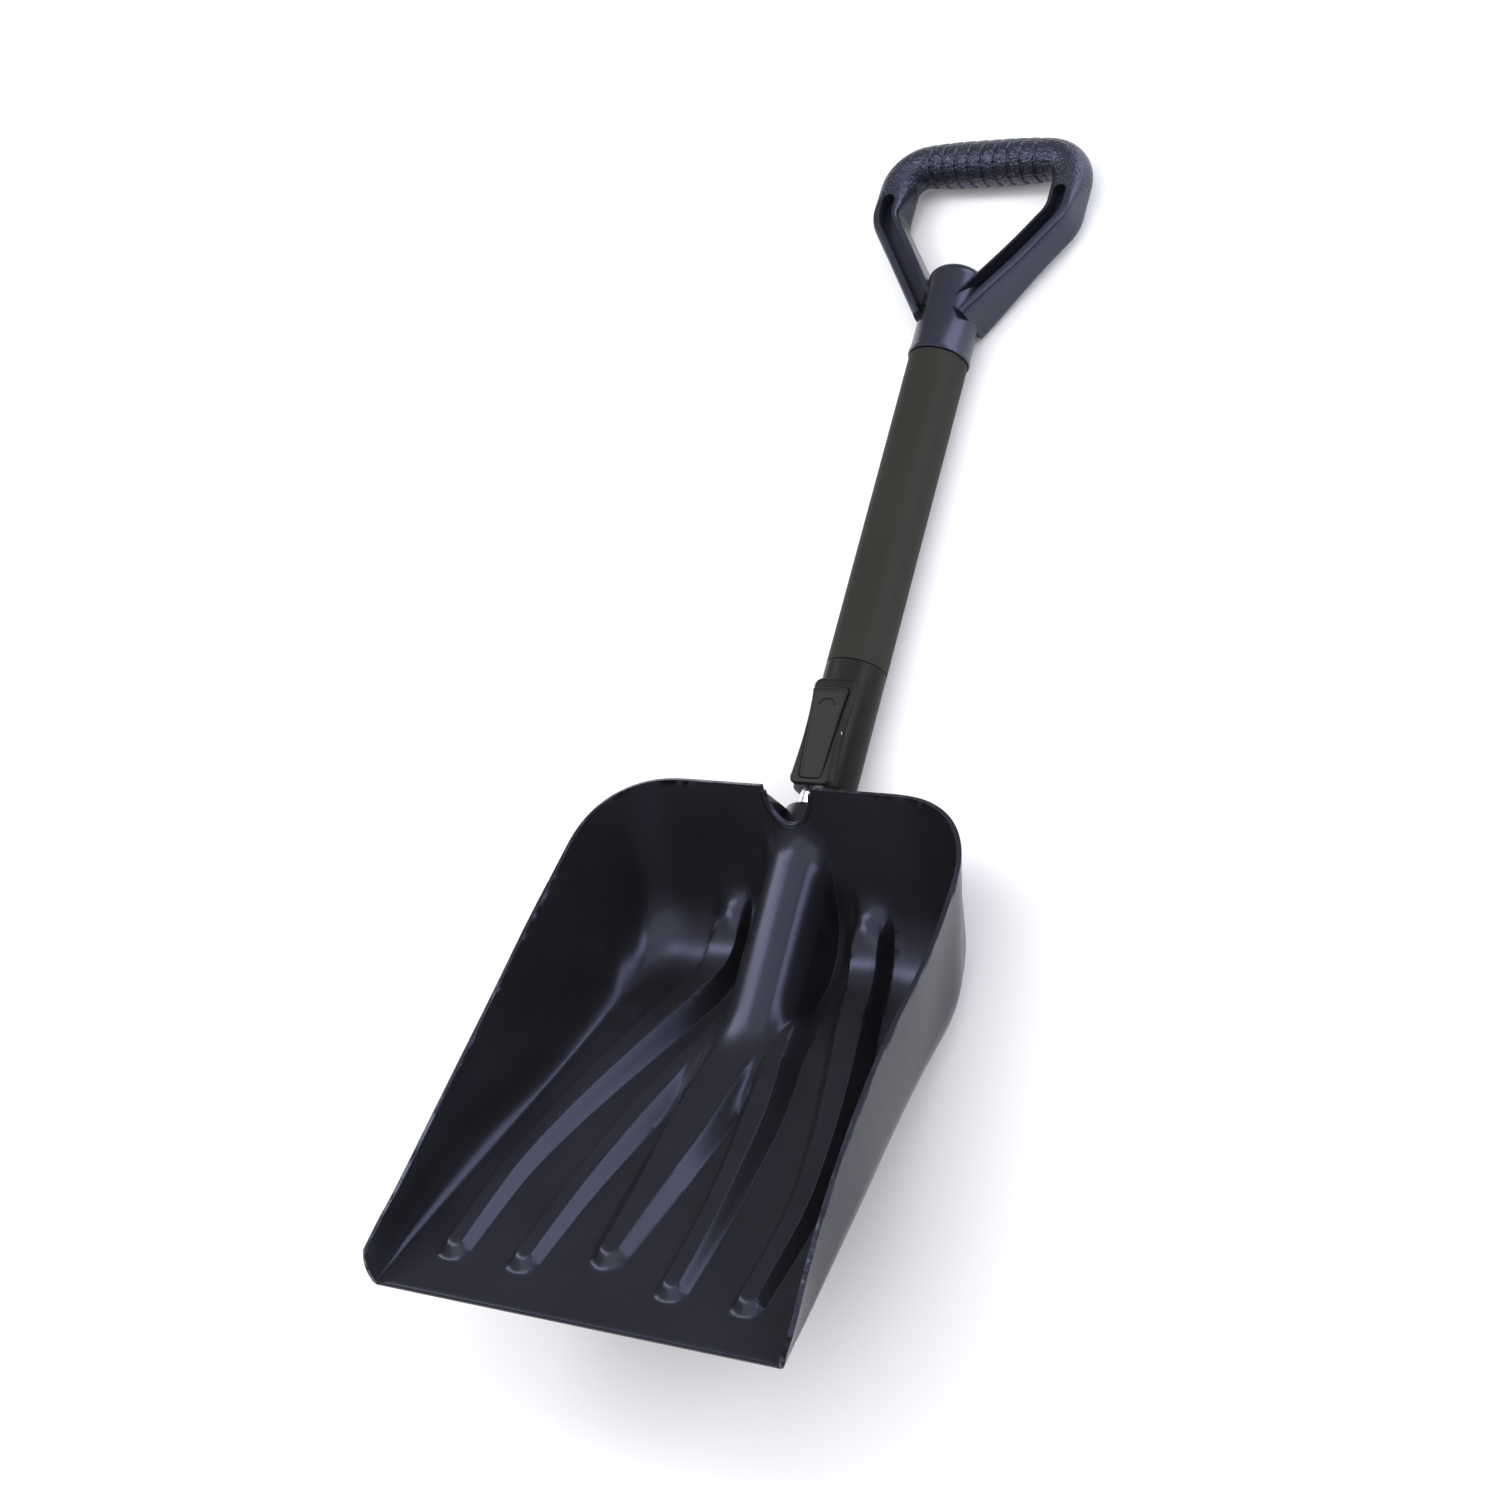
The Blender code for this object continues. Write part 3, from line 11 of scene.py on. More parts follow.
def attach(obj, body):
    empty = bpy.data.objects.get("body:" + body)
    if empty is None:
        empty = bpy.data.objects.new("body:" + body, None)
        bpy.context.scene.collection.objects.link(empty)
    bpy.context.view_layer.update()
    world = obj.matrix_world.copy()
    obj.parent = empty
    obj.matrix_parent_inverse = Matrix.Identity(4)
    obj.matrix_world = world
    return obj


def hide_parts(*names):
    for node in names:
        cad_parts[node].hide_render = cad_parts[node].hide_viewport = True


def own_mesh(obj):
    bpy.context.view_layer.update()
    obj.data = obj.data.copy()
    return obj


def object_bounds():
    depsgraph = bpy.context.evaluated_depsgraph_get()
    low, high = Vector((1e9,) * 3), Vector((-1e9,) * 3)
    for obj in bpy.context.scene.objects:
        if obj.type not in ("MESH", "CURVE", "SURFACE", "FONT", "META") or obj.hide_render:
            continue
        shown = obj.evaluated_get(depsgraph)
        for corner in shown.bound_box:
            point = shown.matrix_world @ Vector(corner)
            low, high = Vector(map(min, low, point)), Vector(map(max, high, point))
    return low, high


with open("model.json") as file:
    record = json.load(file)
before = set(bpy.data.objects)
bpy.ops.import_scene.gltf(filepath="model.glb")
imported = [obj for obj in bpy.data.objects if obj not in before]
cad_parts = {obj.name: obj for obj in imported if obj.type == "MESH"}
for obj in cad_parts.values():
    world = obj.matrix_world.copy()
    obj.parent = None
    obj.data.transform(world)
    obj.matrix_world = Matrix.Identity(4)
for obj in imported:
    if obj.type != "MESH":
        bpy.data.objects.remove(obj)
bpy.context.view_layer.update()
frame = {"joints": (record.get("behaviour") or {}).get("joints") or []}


# Scoop ----------------------------------------------------------------------------------------
# The pan of the shovel: one injection moulding in glossy blue-black polypropylene, 2.6 mm thick,
# with five ribs, a half-round over the handle socket and a scalloped notch in its rear rim. The
# socket sleeve and its two gussets are moulded with it, behind the rear wall.

slide_joint, lever_joint = frame["joints"]
handle_angle = math.radians(30.4)
foot_y, foot_height = 0.2312, 0.0159       # foot of the inner tube, in the scoop's own frame
pivot_along, pivot_height = 0.145, 0.0162  # cross pin of the lock, from the foot of the tube

along_handle = Vector(slide_joint["axis"]).normalized()
under_handle = along_handle.cross(Vector((1, 0, 0)))
foot = Vector(lever_joint["pos_m"]) - along_handle * pivot_along + under_handle * pivot_height
handle_place = Matrix((
    (1, 0, 0, foot.x),
    (0, under_handle.y, along_handle.y, foot.y),
    (0, under_handle.z, along_handle.z, foot.z),
    (0, 0, 0, 1)))
socket_place = (Matrix.Translation((0, foot_y, foot_height))
                @ Matrix.Rotation(handle_angle - math.pi / 2, 4, "X"))
scoop_place = handle_place @ socket_place.inverted()

half_width = 0.1183
length, height, wall = 0.2974, 0.1025, 0.0026
floor_taper = 0.0955
rear_lean = math.radians(13.5)
heel_radius = 0.045
corner_radius, rim_corner_radius, rim_front_radius = 0.024, 0.047, 0.019
notch_half, notch_depth = 0.0152, 0.0225
rib_front_height, rib_rear_height = 0.0048, 0.0115
rib_first, rib_first_centre = 0.0225, 0.0345
bulge_radius = 0.0208
bulge_blend = 0.005
line_space = 0.0012
rib_crease = 0.55
rim_round, bead_radius = 0.0007, 0.0019
wall_foot = length - (height - wall) * math.tan(rear_lean)
heel_sweep = math.pi / 2 - rear_lean
floor_end = wall_foot - heel_radius * math.tan(heel_sweep / 2)
heel_arc = heel_radius * heel_sweep
heel_top = wall + heel_radius * (1 - math.cos(heel_sweep))
wall_slant = (height - heel_top) / math.cos(rear_lean)
heel_steps, wall_steps, corner_steps = 7, 4, 3

# Rim and fillet of a side wall, and the ribs, as (share of the length, value).
rim_plan = ((0.037, 1.048), (0.114, 1.020), (0.296, 0.990), (0.498, 0.985), (0.720, 1.010),
            (0.824, 1.000))
rim_profile = ((0.037, 0.166), (0.066, 0.209), (0.114, 0.256), (0.296, 0.440), (0.498, 0.610),
               (0.720, 0.760), (0.824, 0.844), (0.920, 0.940), (1.000, 1.000))
side_fillet = ((0.0, 0.003), (0.10, 0.007), (0.35, 0.017), (0.65, 0.024), (0.85, 0.032),
               (1.0, 0.040))
side_crease = ((0.0, 40.0), (0.70, 38.0), (0.90, 16.0), (1.0, 4.0))
ribs = (
    {"start": rib_first_centre, "end": 0.232, "centre": ((0.0, 0.0), (1.0, 0.0)),
     "top": ((0.12, 0.0045), (0.225, 0.0056), (0.30, 0.0072), (0.41, 0.0107), (0.55, 0.0125),
             (0.9, 0.012)),
     "base": ((0.14, 0.0105), (0.205, 0.0130), (0.363, 0.0167), (0.52, 0.0190), (0.75, 0.0204))},
    {"start": rib_first, "end": 0.226,
     "centre": ((0.08, 0.373), (0.17, 0.364), (0.27, 0.348), (0.385, 0.314), (0.50, 0.272),
                (0.60, 0.205), (0.65, 0.165), (0.75, 0.150)),
     "top": ((0.1, 0.0043), (0.34, 0.0046), (0.50, 0.0056), (0.65, 0.0066)),
     "base": ((0.1, 0.0090), (0.34, 0.0105), (0.50, 0.0126), (0.65, 0.0150))},
    {"start": rib_first, "end": 0.295,
     "centre": ((0.10, 0.733), (0.20, 0.733), (0.30, 0.724), (0.40, 0.682), (0.50, 0.626),
                (0.60, 0.558), (0.69, 0.492), (0.77, 0.428), (0.88, 0.380), (1.0, 0.362)),
     "top": ((0.1, 0.0043), (0.34, 0.0046), (0.50, 0.0056), (0.65, 0.0068), (0.95, 0.0080)),
     "base": ((0.1, 0.0090), (0.34, 0.0105), (0.50, 0.0126), (0.65, 0.0142), (0.77, 0.0138),
              (1.0, 0.0125))})


def ease(t):
    t = min(max(t, 0.0), 1.0)
    return t * t * (3 - 2 * t)


def curve_at(knots, at):
    """Value at `at` of a smooth curve through (place, value) knots, level past either end."""
    if at <= knots[0][0]:
        return knots[0][1]
    if at >= knots[-1][0]:
        return knots[-1][1]
    slopes = [(b[1] - a[1]) / (b[0] - a[0]) for a, b in zip(knots, knots[1:])]
    index = next(k for k in range(len(slopes)) if at <= knots[k + 1][0])
    low, high = knots[index], knots[index + 1]
    span = high[0] - low[0]
    start = 0.5 * (slopes[max(index - 1, 0)] + slopes[index]) * span
    end = 0.5 * (slopes[min(index + 1, len(slopes) - 1)] + slopes[index]) * span
    t = (at - low[0]) / span
    return ((2 * t**3 - 3 * t**2 + 1) * low[1] + (t**3 - 2 * t**2 + t) * start
            + (3 * t**2 - 2 * t**3) * high[1] + (t**3 - t**2) * end)


def floor_edge(y):
    return half_width - floor_taper * y


def rib_line(rib, v):
    share = v / length
    return (curve_at(rib["centre"], share) * half_width, curve_at(rib["top"], share),
            curve_at(rib["base"], share))


def rib_rise(x, v):
    """How far the ribs lift the surface at x, v metres along the floor and up the wall."""
    rise = 0.0
    for rib in ribs:
        centre, top, base = rib_line(rib, v)
        past = max(rib["start"] + base - v, 0.0, v - (rib["end"] - base))
        reach = math.hypot(abs(x) - centre, past)
        tall = rib_front_height + (rib_rear_height - rib_front_height) * ease(v / floor_end)
        rise = max(rise, tall * min(max((base - reach) / (base - top), 0.0), 1.0))
    return rise


def column_lines(v):
    _, top, base = rib_line(ribs[0], v)
    lines = [0.0, top / 2, top, (top + base) / 2, base]
    for rib in ribs[1:]:
        centre, top, base = rib_line(rib, v)
        valley = len(lines)
        low = max(centre - base, lines[-1] + 2 * line_space)
        lines.append((lines[-1] + low) / 2)
        for line in (centre - base, centre - top, centre, centre + top, centre + base):
            lines.append(max(line, lines[-1] + line_space))
        lines[valley] = (lines[valley - 1] + lines[valley + 1]) / 2
    return lines


def bulge_over_axis(x):
    if abs(x) >= bulge_radius:
        return None
    return math.sqrt(bulge_radius**2 - x * x) / math.cos(handle_angle)


def axis_height(y):
    return foot_height + (y - foot_y) * math.tan(handle_angle)


def floor_point(x, y):
    z = wall + rib_rise(x, y)
    over = bulge_over_axis(x)
    if over is not None:
        high = axis_height(y) + over
        share = min(max(0.5 + 0.5 * (high - z) / bulge_blend, 0.0), 1.0)
        z = z + (high - z) * share + bulge_blend * share * (1 - share)
    return Vector((x, y, z))


def rear_point(x, v):
    """A point behind the flat floor: up the heel and the rear wall, or on the half-round."""
    over = bulge_over_axis(x)
    lean, slope = math.tan(rear_lean), math.tan(handle_angle)
    if over is not None:
        top_z = (axis_height(wall_foot - wall * lean) + over) / (1 - slope * lean)
        top_y = wall_foot + (top_z - wall) * lean
        top_v = floor_end + heel_arc + (top_z - heel_top) / math.cos(rear_lean)
        if v < top_v:
            share = (v - floor_end) / (top_v - floor_end)
            start = floor_point(x, floor_end)
            return start + (Vector((x, top_y, top_z)) - start) * share
    if v <= floor_end + heel_arc:
        turn = (v - floor_end) / heel_radius
        point = Vector((x, floor_end + heel_radius * math.sin(turn),
                        wall + heel_radius * (1 - math.cos(turn))))
    else:
        turn = heel_sweep
        z = heel_top + (v - floor_end - heel_arc) * math.cos(rear_lean)
        point = Vector((x, wall_foot + (z - wall) * lean, z))
    return point + Vector((0, -math.sin(turn), math.cos(turn))) * rib_rise(x, v)


def wall_point(start, rim, radius, crease, step):
    """A point of a side wall, from its foot on the floor through a fillet to the rim."""
    out = Vector((rim.x - start.x, rim.y - start.y, 0))
    run, climb = out.length, rim.z - start.z
    out.normalize()
    centre = (-radius * math.sin(crease), radius * math.cos(crease))
    reach = math.hypot(run - centre[0], climb - centre[1])
    lean = math.atan2(climb - centre[1], run - centre[0]) + math.asin(radius / reach)
    turn = crease + (lean - crease) * min(step / heel_steps, 1.0)
    across = centre[0] + radius * math.sin(turn)
    up = centre[1] - radius * math.cos(turn)
    share = max(step - heel_steps, 0) / wall_steps
    across += (run - across) * share
    up += (climb - up) * share
    return Vector((start.x + out.x * across, start.y + out.y * across, start.z + up))


def rim_point(y):
    share = y / length
    return Vector((curve_at(rim_plan, share) * half_width, y,
                   curve_at(rim_profile, share) * height))


def corner_point(turn):
    straight_end = length - rim_corner_radius
    y = straight_end + rim_corner_radius * math.sin(turn)
    return Vector((rim_point(straight_end).x - rim_corner_radius * (1 - math.cos(turn)), y,
                   curve_at(rim_profile, y / length) * height))


corner_start = floor_end - corner_radius
corner_middle = floor_edge(corner_start) - corner_radius
eighth = math.radians(45)


def floor_corner(turn):
    return Vector((corner_middle + corner_radius * math.cos(turn),
                   corner_start + corner_radius * math.sin(turn), wall))


def side_rim(y):
    front = rim_plan[0][0] * length
    shift = length - rim_corner_radius - corner_start
    return rim_point(y + front * (1 - ease(y / (3 * front)))
                     + shift * ease((y - 0.4 * corner_start) / (0.6 * corner_start)))


def half_floor(y, turn):
    """One half of a row of the floor: the lines of the ribs, then those of the rear corner."""
    points = [floor_point(x, y) for x in column_lines(y)]
    edge = floor_corner(turn) if turn else Vector((floor_edge(y), y, wall))
    last_x = points[-1].x
    full_drop = corner_radius * (1 - math.cos(eighth))
    settled = ease((y / floor_end - 0.5) * 2)
    back = floor_corner(2 * eighth).x
    start = max(back - last_x, 2 * line_space)
    for k in range(corner_steps):
        fan = floor_corner(2 * eighth - eighth * k / corner_steps)
        even = last_x + (edge.x - last_x) * (k + 1) / (corner_steps + 1)
        share = (start + fan.x - back) / (start + floor_corner(eighth).x - back)
        fanned = last_x + (edge.x - last_x) * share
        drop = (floor_end - fan.y) / full_drop
        points.append(Vector((even + (fanned - even) * settled, y - (y - edge.y) * drop, wall)))
    return points + [edge]


def half_rear(step):
    up = heel_arc * min(step / heel_steps, 1.0)
    up += wall_slant * max(step - heel_steps, 0) / wall_steps
    v = floor_end + up
    points = [rear_point(x, v) for x in column_lines(v)]
    feet = half_floor(floor_end, eighth)[-corner_steps - 1:]
    for k, start in enumerate(feet):
        rim = corner_point(2 * eighth - eighth * k / corner_steps)
        points.append(wall_point(start, rim, heel_radius, 0.0, step))
    return points


def side_point(y, turn, start, step):
    share = y / floor_end
    rim = corner_point(turn) if turn else side_rim(y)
    crease = math.radians(curve_at(side_crease, share))
    point = wall_point(start, rim, curve_at(side_fillet, share), crease, step)
    if y == 0.0:
        climb = min((point.z - wall) / rim_front_radius, 0.97)
        point.y = rim_front_radius * (1 - math.sqrt(1 - climb**2))
    return point


def pan_surface():
    """The inside face of the pan as one sheet of quads."""
    fine_end = rib_first_centre + 0.013
    rows = [0.0, 0.5 * rib_first, 0.9 * rib_first]
    rows += [rib_first + (fine_end - rib_first) * k / 9 for k in range(9)]
    rows += [fine_end + (corner_start - fine_end) * k / 12 for k in range(13)]
    rows = [(y, 0.0) for y in rows]
    for k in range(1, corner_steps + 1):
        turn = eighth * k / corner_steps
        rows.append((corner_start + corner_radius * turn / eighth, turn))
    shape = bmesh.new()

    def mirrored(half):
        left = [shape.verts.new((-p.x, p.y, p.z)) for p in reversed(half[1:])]
        return left + [shape.verts.new(p) for p in half]

    crease = shape.edges.layers.float.new("crease_edge")
    edge_lines = (2, 4, 6, 7, 9, 10, 12, 13, 15, 16)   # where the ribs' flanks begin and end

    def fill(one, two):
        for k in range(len(one) - 1):
            shape.faces.new([one[k], one[k + 1], two[k + 1], two[k]])
        middle = len(one) // 2
        if len(one) == 2 * len(half_floor(0.0, 0.0)) - 1:
            for line in edge_lines:
                for k in (middle - line, middle + line):
                    shape.edges.get((one[k], two[k]))[crease] = rib_crease

    floor = [mirrored(half_floor(y, turn)) for y, turn in rows]
    for one, two in zip(floor, floor[1:]):
        fill(one, two)
    rear = [floor[-1]]
    steps = range(1, heel_steps + wall_steps + 1)
    for step in steps:
        rear.append(mirrored(half_rear(step)))
        fill(rear[-2], rear[-1])
    for side, end in ((-1, 0), (1, -1)):
        column = [row[end] for row in rear]
        for place in range(len(rows) - 2, -1, -1):
            corner = floor[place][end]
            start = Vector((abs(corner.co.x), corner.co.y, corner.co.z))
            points = [side_point(*rows[place], start, step) for step in steps]
            nearer = [corner] + [shape.verts.new((side * p.x, p.y, p.z)) for p in points]
            fill(*((nearer, column) if side > 0 else (column, nearer)))
            column = nearer
    bmesh.ops.recalc_face_normals(shape, faces=shape.faces)
    if min(shape.faces, key=lambda face: face.calc_center_median().y).normal.z < 0:
        bmesh.ops.reverse_faces(shape, faces=shape.faces)
    return shape


def make_piece(name, shape, place, sharp=35):
    """An object at its place, from a mesh in the frame of that place."""
    mesh = bpy.data.meshes.new(name)
    shape.to_mesh(mesh)
    shape.free()
    mesh.shade_smooth()
    mesh.set_sharp_from_angle(angle=math.radians(sharp))
    piece = bpy.data.objects.new(name, mesh)
    piece.matrix_world = place
    bpy.context.scene.collection.objects.link(piece)
    return piece


def settle(piece, sharp=35):
    """Turn the piece's modifiers into plain mesh, with crisp shading only at real edges."""
    bpy.context.view_layer.update()
    graph = bpy.context.evaluated_depsgraph_get()
    mesh = bpy.data.meshes.new_from_object(piece.evaluated_get(graph))
    piece.modifiers.clear()
    piece.data = mesh
    mesh.name = piece.name
    mesh.shade_smooth()
    mesh.set_sharp_from_angle(angle=math.radians(sharp))


def work(piece, operation, *shapes):
    """Join shapes to a piece, or cut them from it, in the piece's own frame."""
    for shape in shapes:
        tool = make_piece("tool", shape, piece.matrix_world)
        step = piece.modifiers.new("step", "BOOLEAN")
        step.operation = operation
        step.object = tool
        step.solver = "EXACT"
        settle(piece)
        bpy.data.objects.remove(tool)


def round_edges(piece, width, angle=40, segments=2, sharp=35):
    step = piece.modifiers.new("edges", "BEVEL")
    step.limit_method = "ANGLE"
    step.angle_limit = math.radians(angle)
    step.width = width
    step.segments = segments
    settle(piece, sharp)


def turned(outline, segments=96, phase=0.0, place=None):
    """A lathe shape about z from (radius, along) points; radius 0 closes it on the axis."""
    shape = bmesh.new()
    rings = []
    for radius, along in outline:
        turns = [2 * math.pi * (k + phase) / segments for k in range(segments if radius else 1)]
        rings.append([shape.verts.new((radius * math.cos(a), radius * math.sin(a), along))
                      for a in turns])
    closed = all(len(ring) > 1 for ring in rings)
    for one, two in list(zip(rings, rings[1:])) + ([(rings[-1], rings[0])] if closed else []):
        for k in range(segments):
            n = (k + 1) % segments
            corners = (one[k % len(one)], one[n % len(one)], two[n % len(two)], two[k % len(two)])
            shape.faces.new(list(dict.fromkeys(corners)))
    if place:
        bmesh.ops.transform(shape, matrix=place, verts=shape.verts)
    bmesh.ops.recalc_face_normals(shape, faces=shape.faces)
    return shape


def plate(outline, low, high, point):
    """A closed outline carried from one level to another; point(u, v, w) gives the place."""
    shape = bmesh.new()
    ends = [[shape.verts.new(point(u, v, level)) for u, v in outline] for level in (low, high)]
    shape.faces.new(ends[0])
    shape.faces.new(ends[1])
    for k in range(len(outline)):
        n = (k + 1) % len(outline)
        shape.faces.new([ends[0][k], ends[0][n], ends[1][n], ends[1][k]])
    bmesh.ops.recalc_face_normals(shape, faces=shape.faces)
    return shape


def rear(u, v, w):
    """Outline across and along, level counted towards the rear."""
    return (u, w, v)


def join_rings(shape, rings):
    """Walls between rings of points that follow each other, with a face over both ends."""
    for one, two in zip(rings, rings[1:]):
        for k in range(len(one)):
            n = (k + 1) % len(one)
            shape.faces.new([one[k], one[n], two[n], two[k]])
    shape.faces.new(rings[0])
    shape.faces.new(rings[-1])
    bmesh.ops.recalc_face_normals(shape, faces=shape.faces)


def ring_of(radius, across=0.0, along=0.0, segments=40):
    turns = [2 * math.pi * (k + 0.5) / segments for k in range(segments)]
    return [(across + radius * math.cos(a), along + radius * math.sin(a)) for a in turns]


def swept(path, radius, sides=12):
    """A round bar along a path of points that lie in one upright plane."""
    shape = bmesh.new()
    rings = []
    for k, here in enumerate(path):
        ahead = (path[min(k + 1, len(path) - 1)] - path[max(k - 1, 0)]).normalized()
        side = ahead.cross(Vector((0, 1, 0))).normalized()
        level = ahead.cross(side)
        turns = [2 * math.pi * n / sides for n in range(sides)]
        rings.append([shape.verts.new(here + (side * math.cos(a) + level * math.sin(a)) * radius)
                      for a in turns])
    join_rings(shape, rings)
    return shape


class Signal:
    """One socket of a material's nodes. Sums and products of signals add Math nodes."""

    def __init__(self, tree, socket=None):
        self.tree = tree
        self.socket = socket

    def node(self, kind, inputs=None, output=0, **settings):
        made = self.tree.nodes.new(kind)
        for name, value in settings.items():
            setattr(made, name, value)
        for name, value in (inputs or {}).items():
            if isinstance(value, Signal):
                self.tree.links.new(value.socket, made.inputs[name])
            else:
                made.inputs[name].default_value = value
        return Signal(self.tree, made.outputs[output])

    def math(self, operation, first, second):
        return self.node("ShaderNodeMath", {0: first, 1: second}, operation=operation)

    def __add__(self, other):
        return self.math("ADD", self, other)

    def __sub__(self, other):
        return self.math("SUBTRACT", self, other)

    def __rsub__(self, other):
        return self.math("SUBTRACT", other, self)

    def __mul__(self, other):
        return self.math("MULTIPLY", self, other)

    __radd__ = __add__
    __rmul__ = __mul__

    def step(self, low, high):
        """0 below low, 1 above high, smooth between them."""
        return self.node("ShaderNodeMapRange", {"Value": self, "From Min": low, "From Max": high},
                         interpolation_type="SMOOTHSTEP")

    def blend(self, first, second):
        """The first colour where the signal is 0, the second where it is 1."""
        return self.node("ShaderNodeMix", {0: self, 6: first, 7: second}, output=2,
                         data_type="RGBA")

    def noise(self, scale, stretch=(1, 1, 1), detail=3.0, rough=0.5):
        placed = self.node("ShaderNodeMapping", {"Vector": self, "Scale": stretch})
        return self.node("ShaderNodeTexNoise", {"Vector": placed, "Scale": scale,
                                                "Detail": detail, "Roughness": rough})

    def soft_edges(self, radius):
        """The surface's own direction, turned over gently at its edges."""
        return self.node("ShaderNodeBevel", {"Radius": radius}, samples=4)

    def bump(self, depth, strength=1.0, over=None):
        inputs = {"Height": self, "Distance": depth, "Strength": strength}
        if over:
            inputs["Normal"] = over
        return self.node("ShaderNodeBump", inputs)


def finish_for(name, place, **fixed):
    """A new material, its place's own coordinates as a signal, and what links its sockets."""
    material = bpy.data.materials.new(name)
    material.use_nodes = True
    shader = material.node_tree.nodes["Principled BSDF"]
    for socket, value in fixed.items():
        shader.inputs[socket.replace("_", " ")].default_value = value
    world = Signal(material.node_tree).node("ShaderNodeTexCoord", output="Object")
    where = world.node("ShaderNodeMapping", {"Vector": world, "Location": place.translation,
                                             "Rotation": place.to_euler()},
                       vector_type="TEXTURE")

    def feed(**signals):
        for socket, signal in signals.items():
            material.node_tree.links.new(signal.socket, shader.inputs[socket.replace("_", " ")])
    return material, where, feed


def fit(piece, material, body, slot, *nodes):
    """Give a finished piece its material, and let it stand for its CAD nodes on their body."""
    piece.data.materials.clear()
    piece.data.materials.append(material)
    piece.data.transform(piece.matrix_world)
    piece.matrix_world = Matrix.Identity(4)
    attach(piece, body)
    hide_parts(*nodes)
    return piece


blue_gloss = (0.62, 0.64, 1.0, 1)          # the tint of the highlights on the blue-black plastic
scoop_plastic, where, feed = finish_for(
    "scoop_plastic", scoop_place, Specular_Tint=blue_gloss, Specular_IOR_Level=0.36, IOR=1.5)
mottle = where.noise(22, detail=4)
feed(Base_Color=mottle.step(0.3, 0.7).blend((0.0085, 0.0083, 0.0100, 1),
                                            (0.0110, 0.0108, 0.0132, 1)),
     Roughness=0.25 + mottle * 0.06,
     Normal=where.noise(16, detail=1).bump(0.0010, 0.18, where.soft_edges(0.0006)))

pan = make_piece("scoop", pan_surface(), scoop_place)
smooth = pan.modifiers.new("smooth", "SUBSURF")
smooth.levels = smooth.render_levels = 2
smooth.boundary_smooth = "PRESERVE_CORNERS"
skin = pan.modifiers.new("wall", "SOLIDIFY")
skin.thickness = wall
skin.offset = -1
skin.use_even_offset = True
skin.use_quality_normals = True
settle(pan)

arc = [math.pi * k / 40 for k in range(41)]
scallop = [(notch_half * math.cos(a), height - notch_depth * math.sin(a)) for a in arc]
outline = scallop + [(-notch_half, height + 0.01), (notch_half, height + 0.01)]
work(pan, "DIFFERENCE", plate(outline, length - 0.02, length + wall + 0.0012, rear))
round_edges(pan, rim_round, angle=50, segments=3)

# The rolled bead round the notch.
bead = []
for x, z in scallop:
    y = wall_foot + (z - wall) * math.tan(rear_lean) + wall / 2 / math.cos(rear_lean)
    bead.append(Vector((x, y, min(z, height - 0.0022))))
work(pan, "UNION", swept(bead[2:-2], bead_radius, 14))

# The sleeve that holds the inner tube, and the two gussets that tie it to the rear wall.
socket_depth, socket_floor = 0.103, 0.006
socket_radius, socket_mouth, taper_length = 0.0197, 0.0172, 0.030
tube_radius, touch = 0.0127, 0.0003
gusset_out, gusset_half = 0.0165, 0.0012
sleeve = turned([(0, -socket_floor), (socket_radius, -socket_floor),
                 (socket_radius, socket_depth - taper_length),
                 (socket_mouth + 0.0006, socket_depth - 0.0012),
                 (socket_mouth, socket_depth - 0.0004), (socket_mouth - 0.0006, socket_depth),
                 (0, socket_depth)], phase=0.5, place=socket_place)
cut = bmesh.ops.bisect_plane(sleeve, geom=sleeve.verts[:] + sleeve.edges[:] + sleeve.faces[:],
                             plane_co=(0, 0, wall / 2), plane_no=(0, 0, 1), clear_inner=True)
cut_edges = [item for item in cut["geom_cut"] if isinstance(item, bmesh.types.BMEdge)]
bmesh.ops.holes_fill(sleeve, edges=cut_edges)
bmesh.ops.recalc_face_normals(sleeve, faces=sleeve.faces)
mouth = socket_place @ Vector((0, 0, socket_depth - 0.002))
low_z = 0.55 * height
low_y = wall_foot + (low_z - wall / 2) * math.tan(rear_lean) + wall / 2
web = [(length + wall / 2, height - 0.004), (mouth.y - 0.004, mouth.z + 0.007),
       (mouth.y, mouth.z), (mouth.y - 0.006, low_z), (low_y, low_z)]
gussets = [plate(web, side * gusset_out - gusset_half, side * gusset_out + gusset_half,
                 lambda u, v, w: (w, u, v)) for side in (-1, 1)]
bore = turned([(0, 0), (tube_radius + touch, 0), (tube_radius + touch, socket_depth + 0.02),
               (0, socket_depth + 0.02)], phase=0.25, place=socket_place)
work(pan, "UNION", sleeve, *gussets)
work(pan, "DIFFERENCE", bore)
screw_places = (0.060, 0.086)
screw_shank = 0.0016
for along in screw_places:
    hole = plate(ring_of(screw_shank + touch), tube_radius - 0.002, socket_radius + 0.01,
                 lambda u, v, w: socket_place @ Vector((u, w, along + v)))
    work(pan, "DIFFERENCE", hole)
fit(pan, scoop_plastic, "scoop", "scoop_plastic", "blade")


# Inner tube -----------------------------------------------------------------------------------
# A drawn aluminium tube, bright, pressed into the scoop's socket and held there by two screws.
# Seven holes along its front take the lock pin, one for each length that the handle can have.

tube_bore, tube_length = 0.0115, 0.352
lock_place, hole_pitch = 0.1225, 0.0211
pin_radius, pin_play = 0.0024, 0.0007
lip = 0.0004
past = 0.003                               # how far a cutter reaches past the wall that it cuts


def front(u, v, w):
    """Outline across and along the handle, level counted outward on the lever's side."""
    return (u, -w, v)


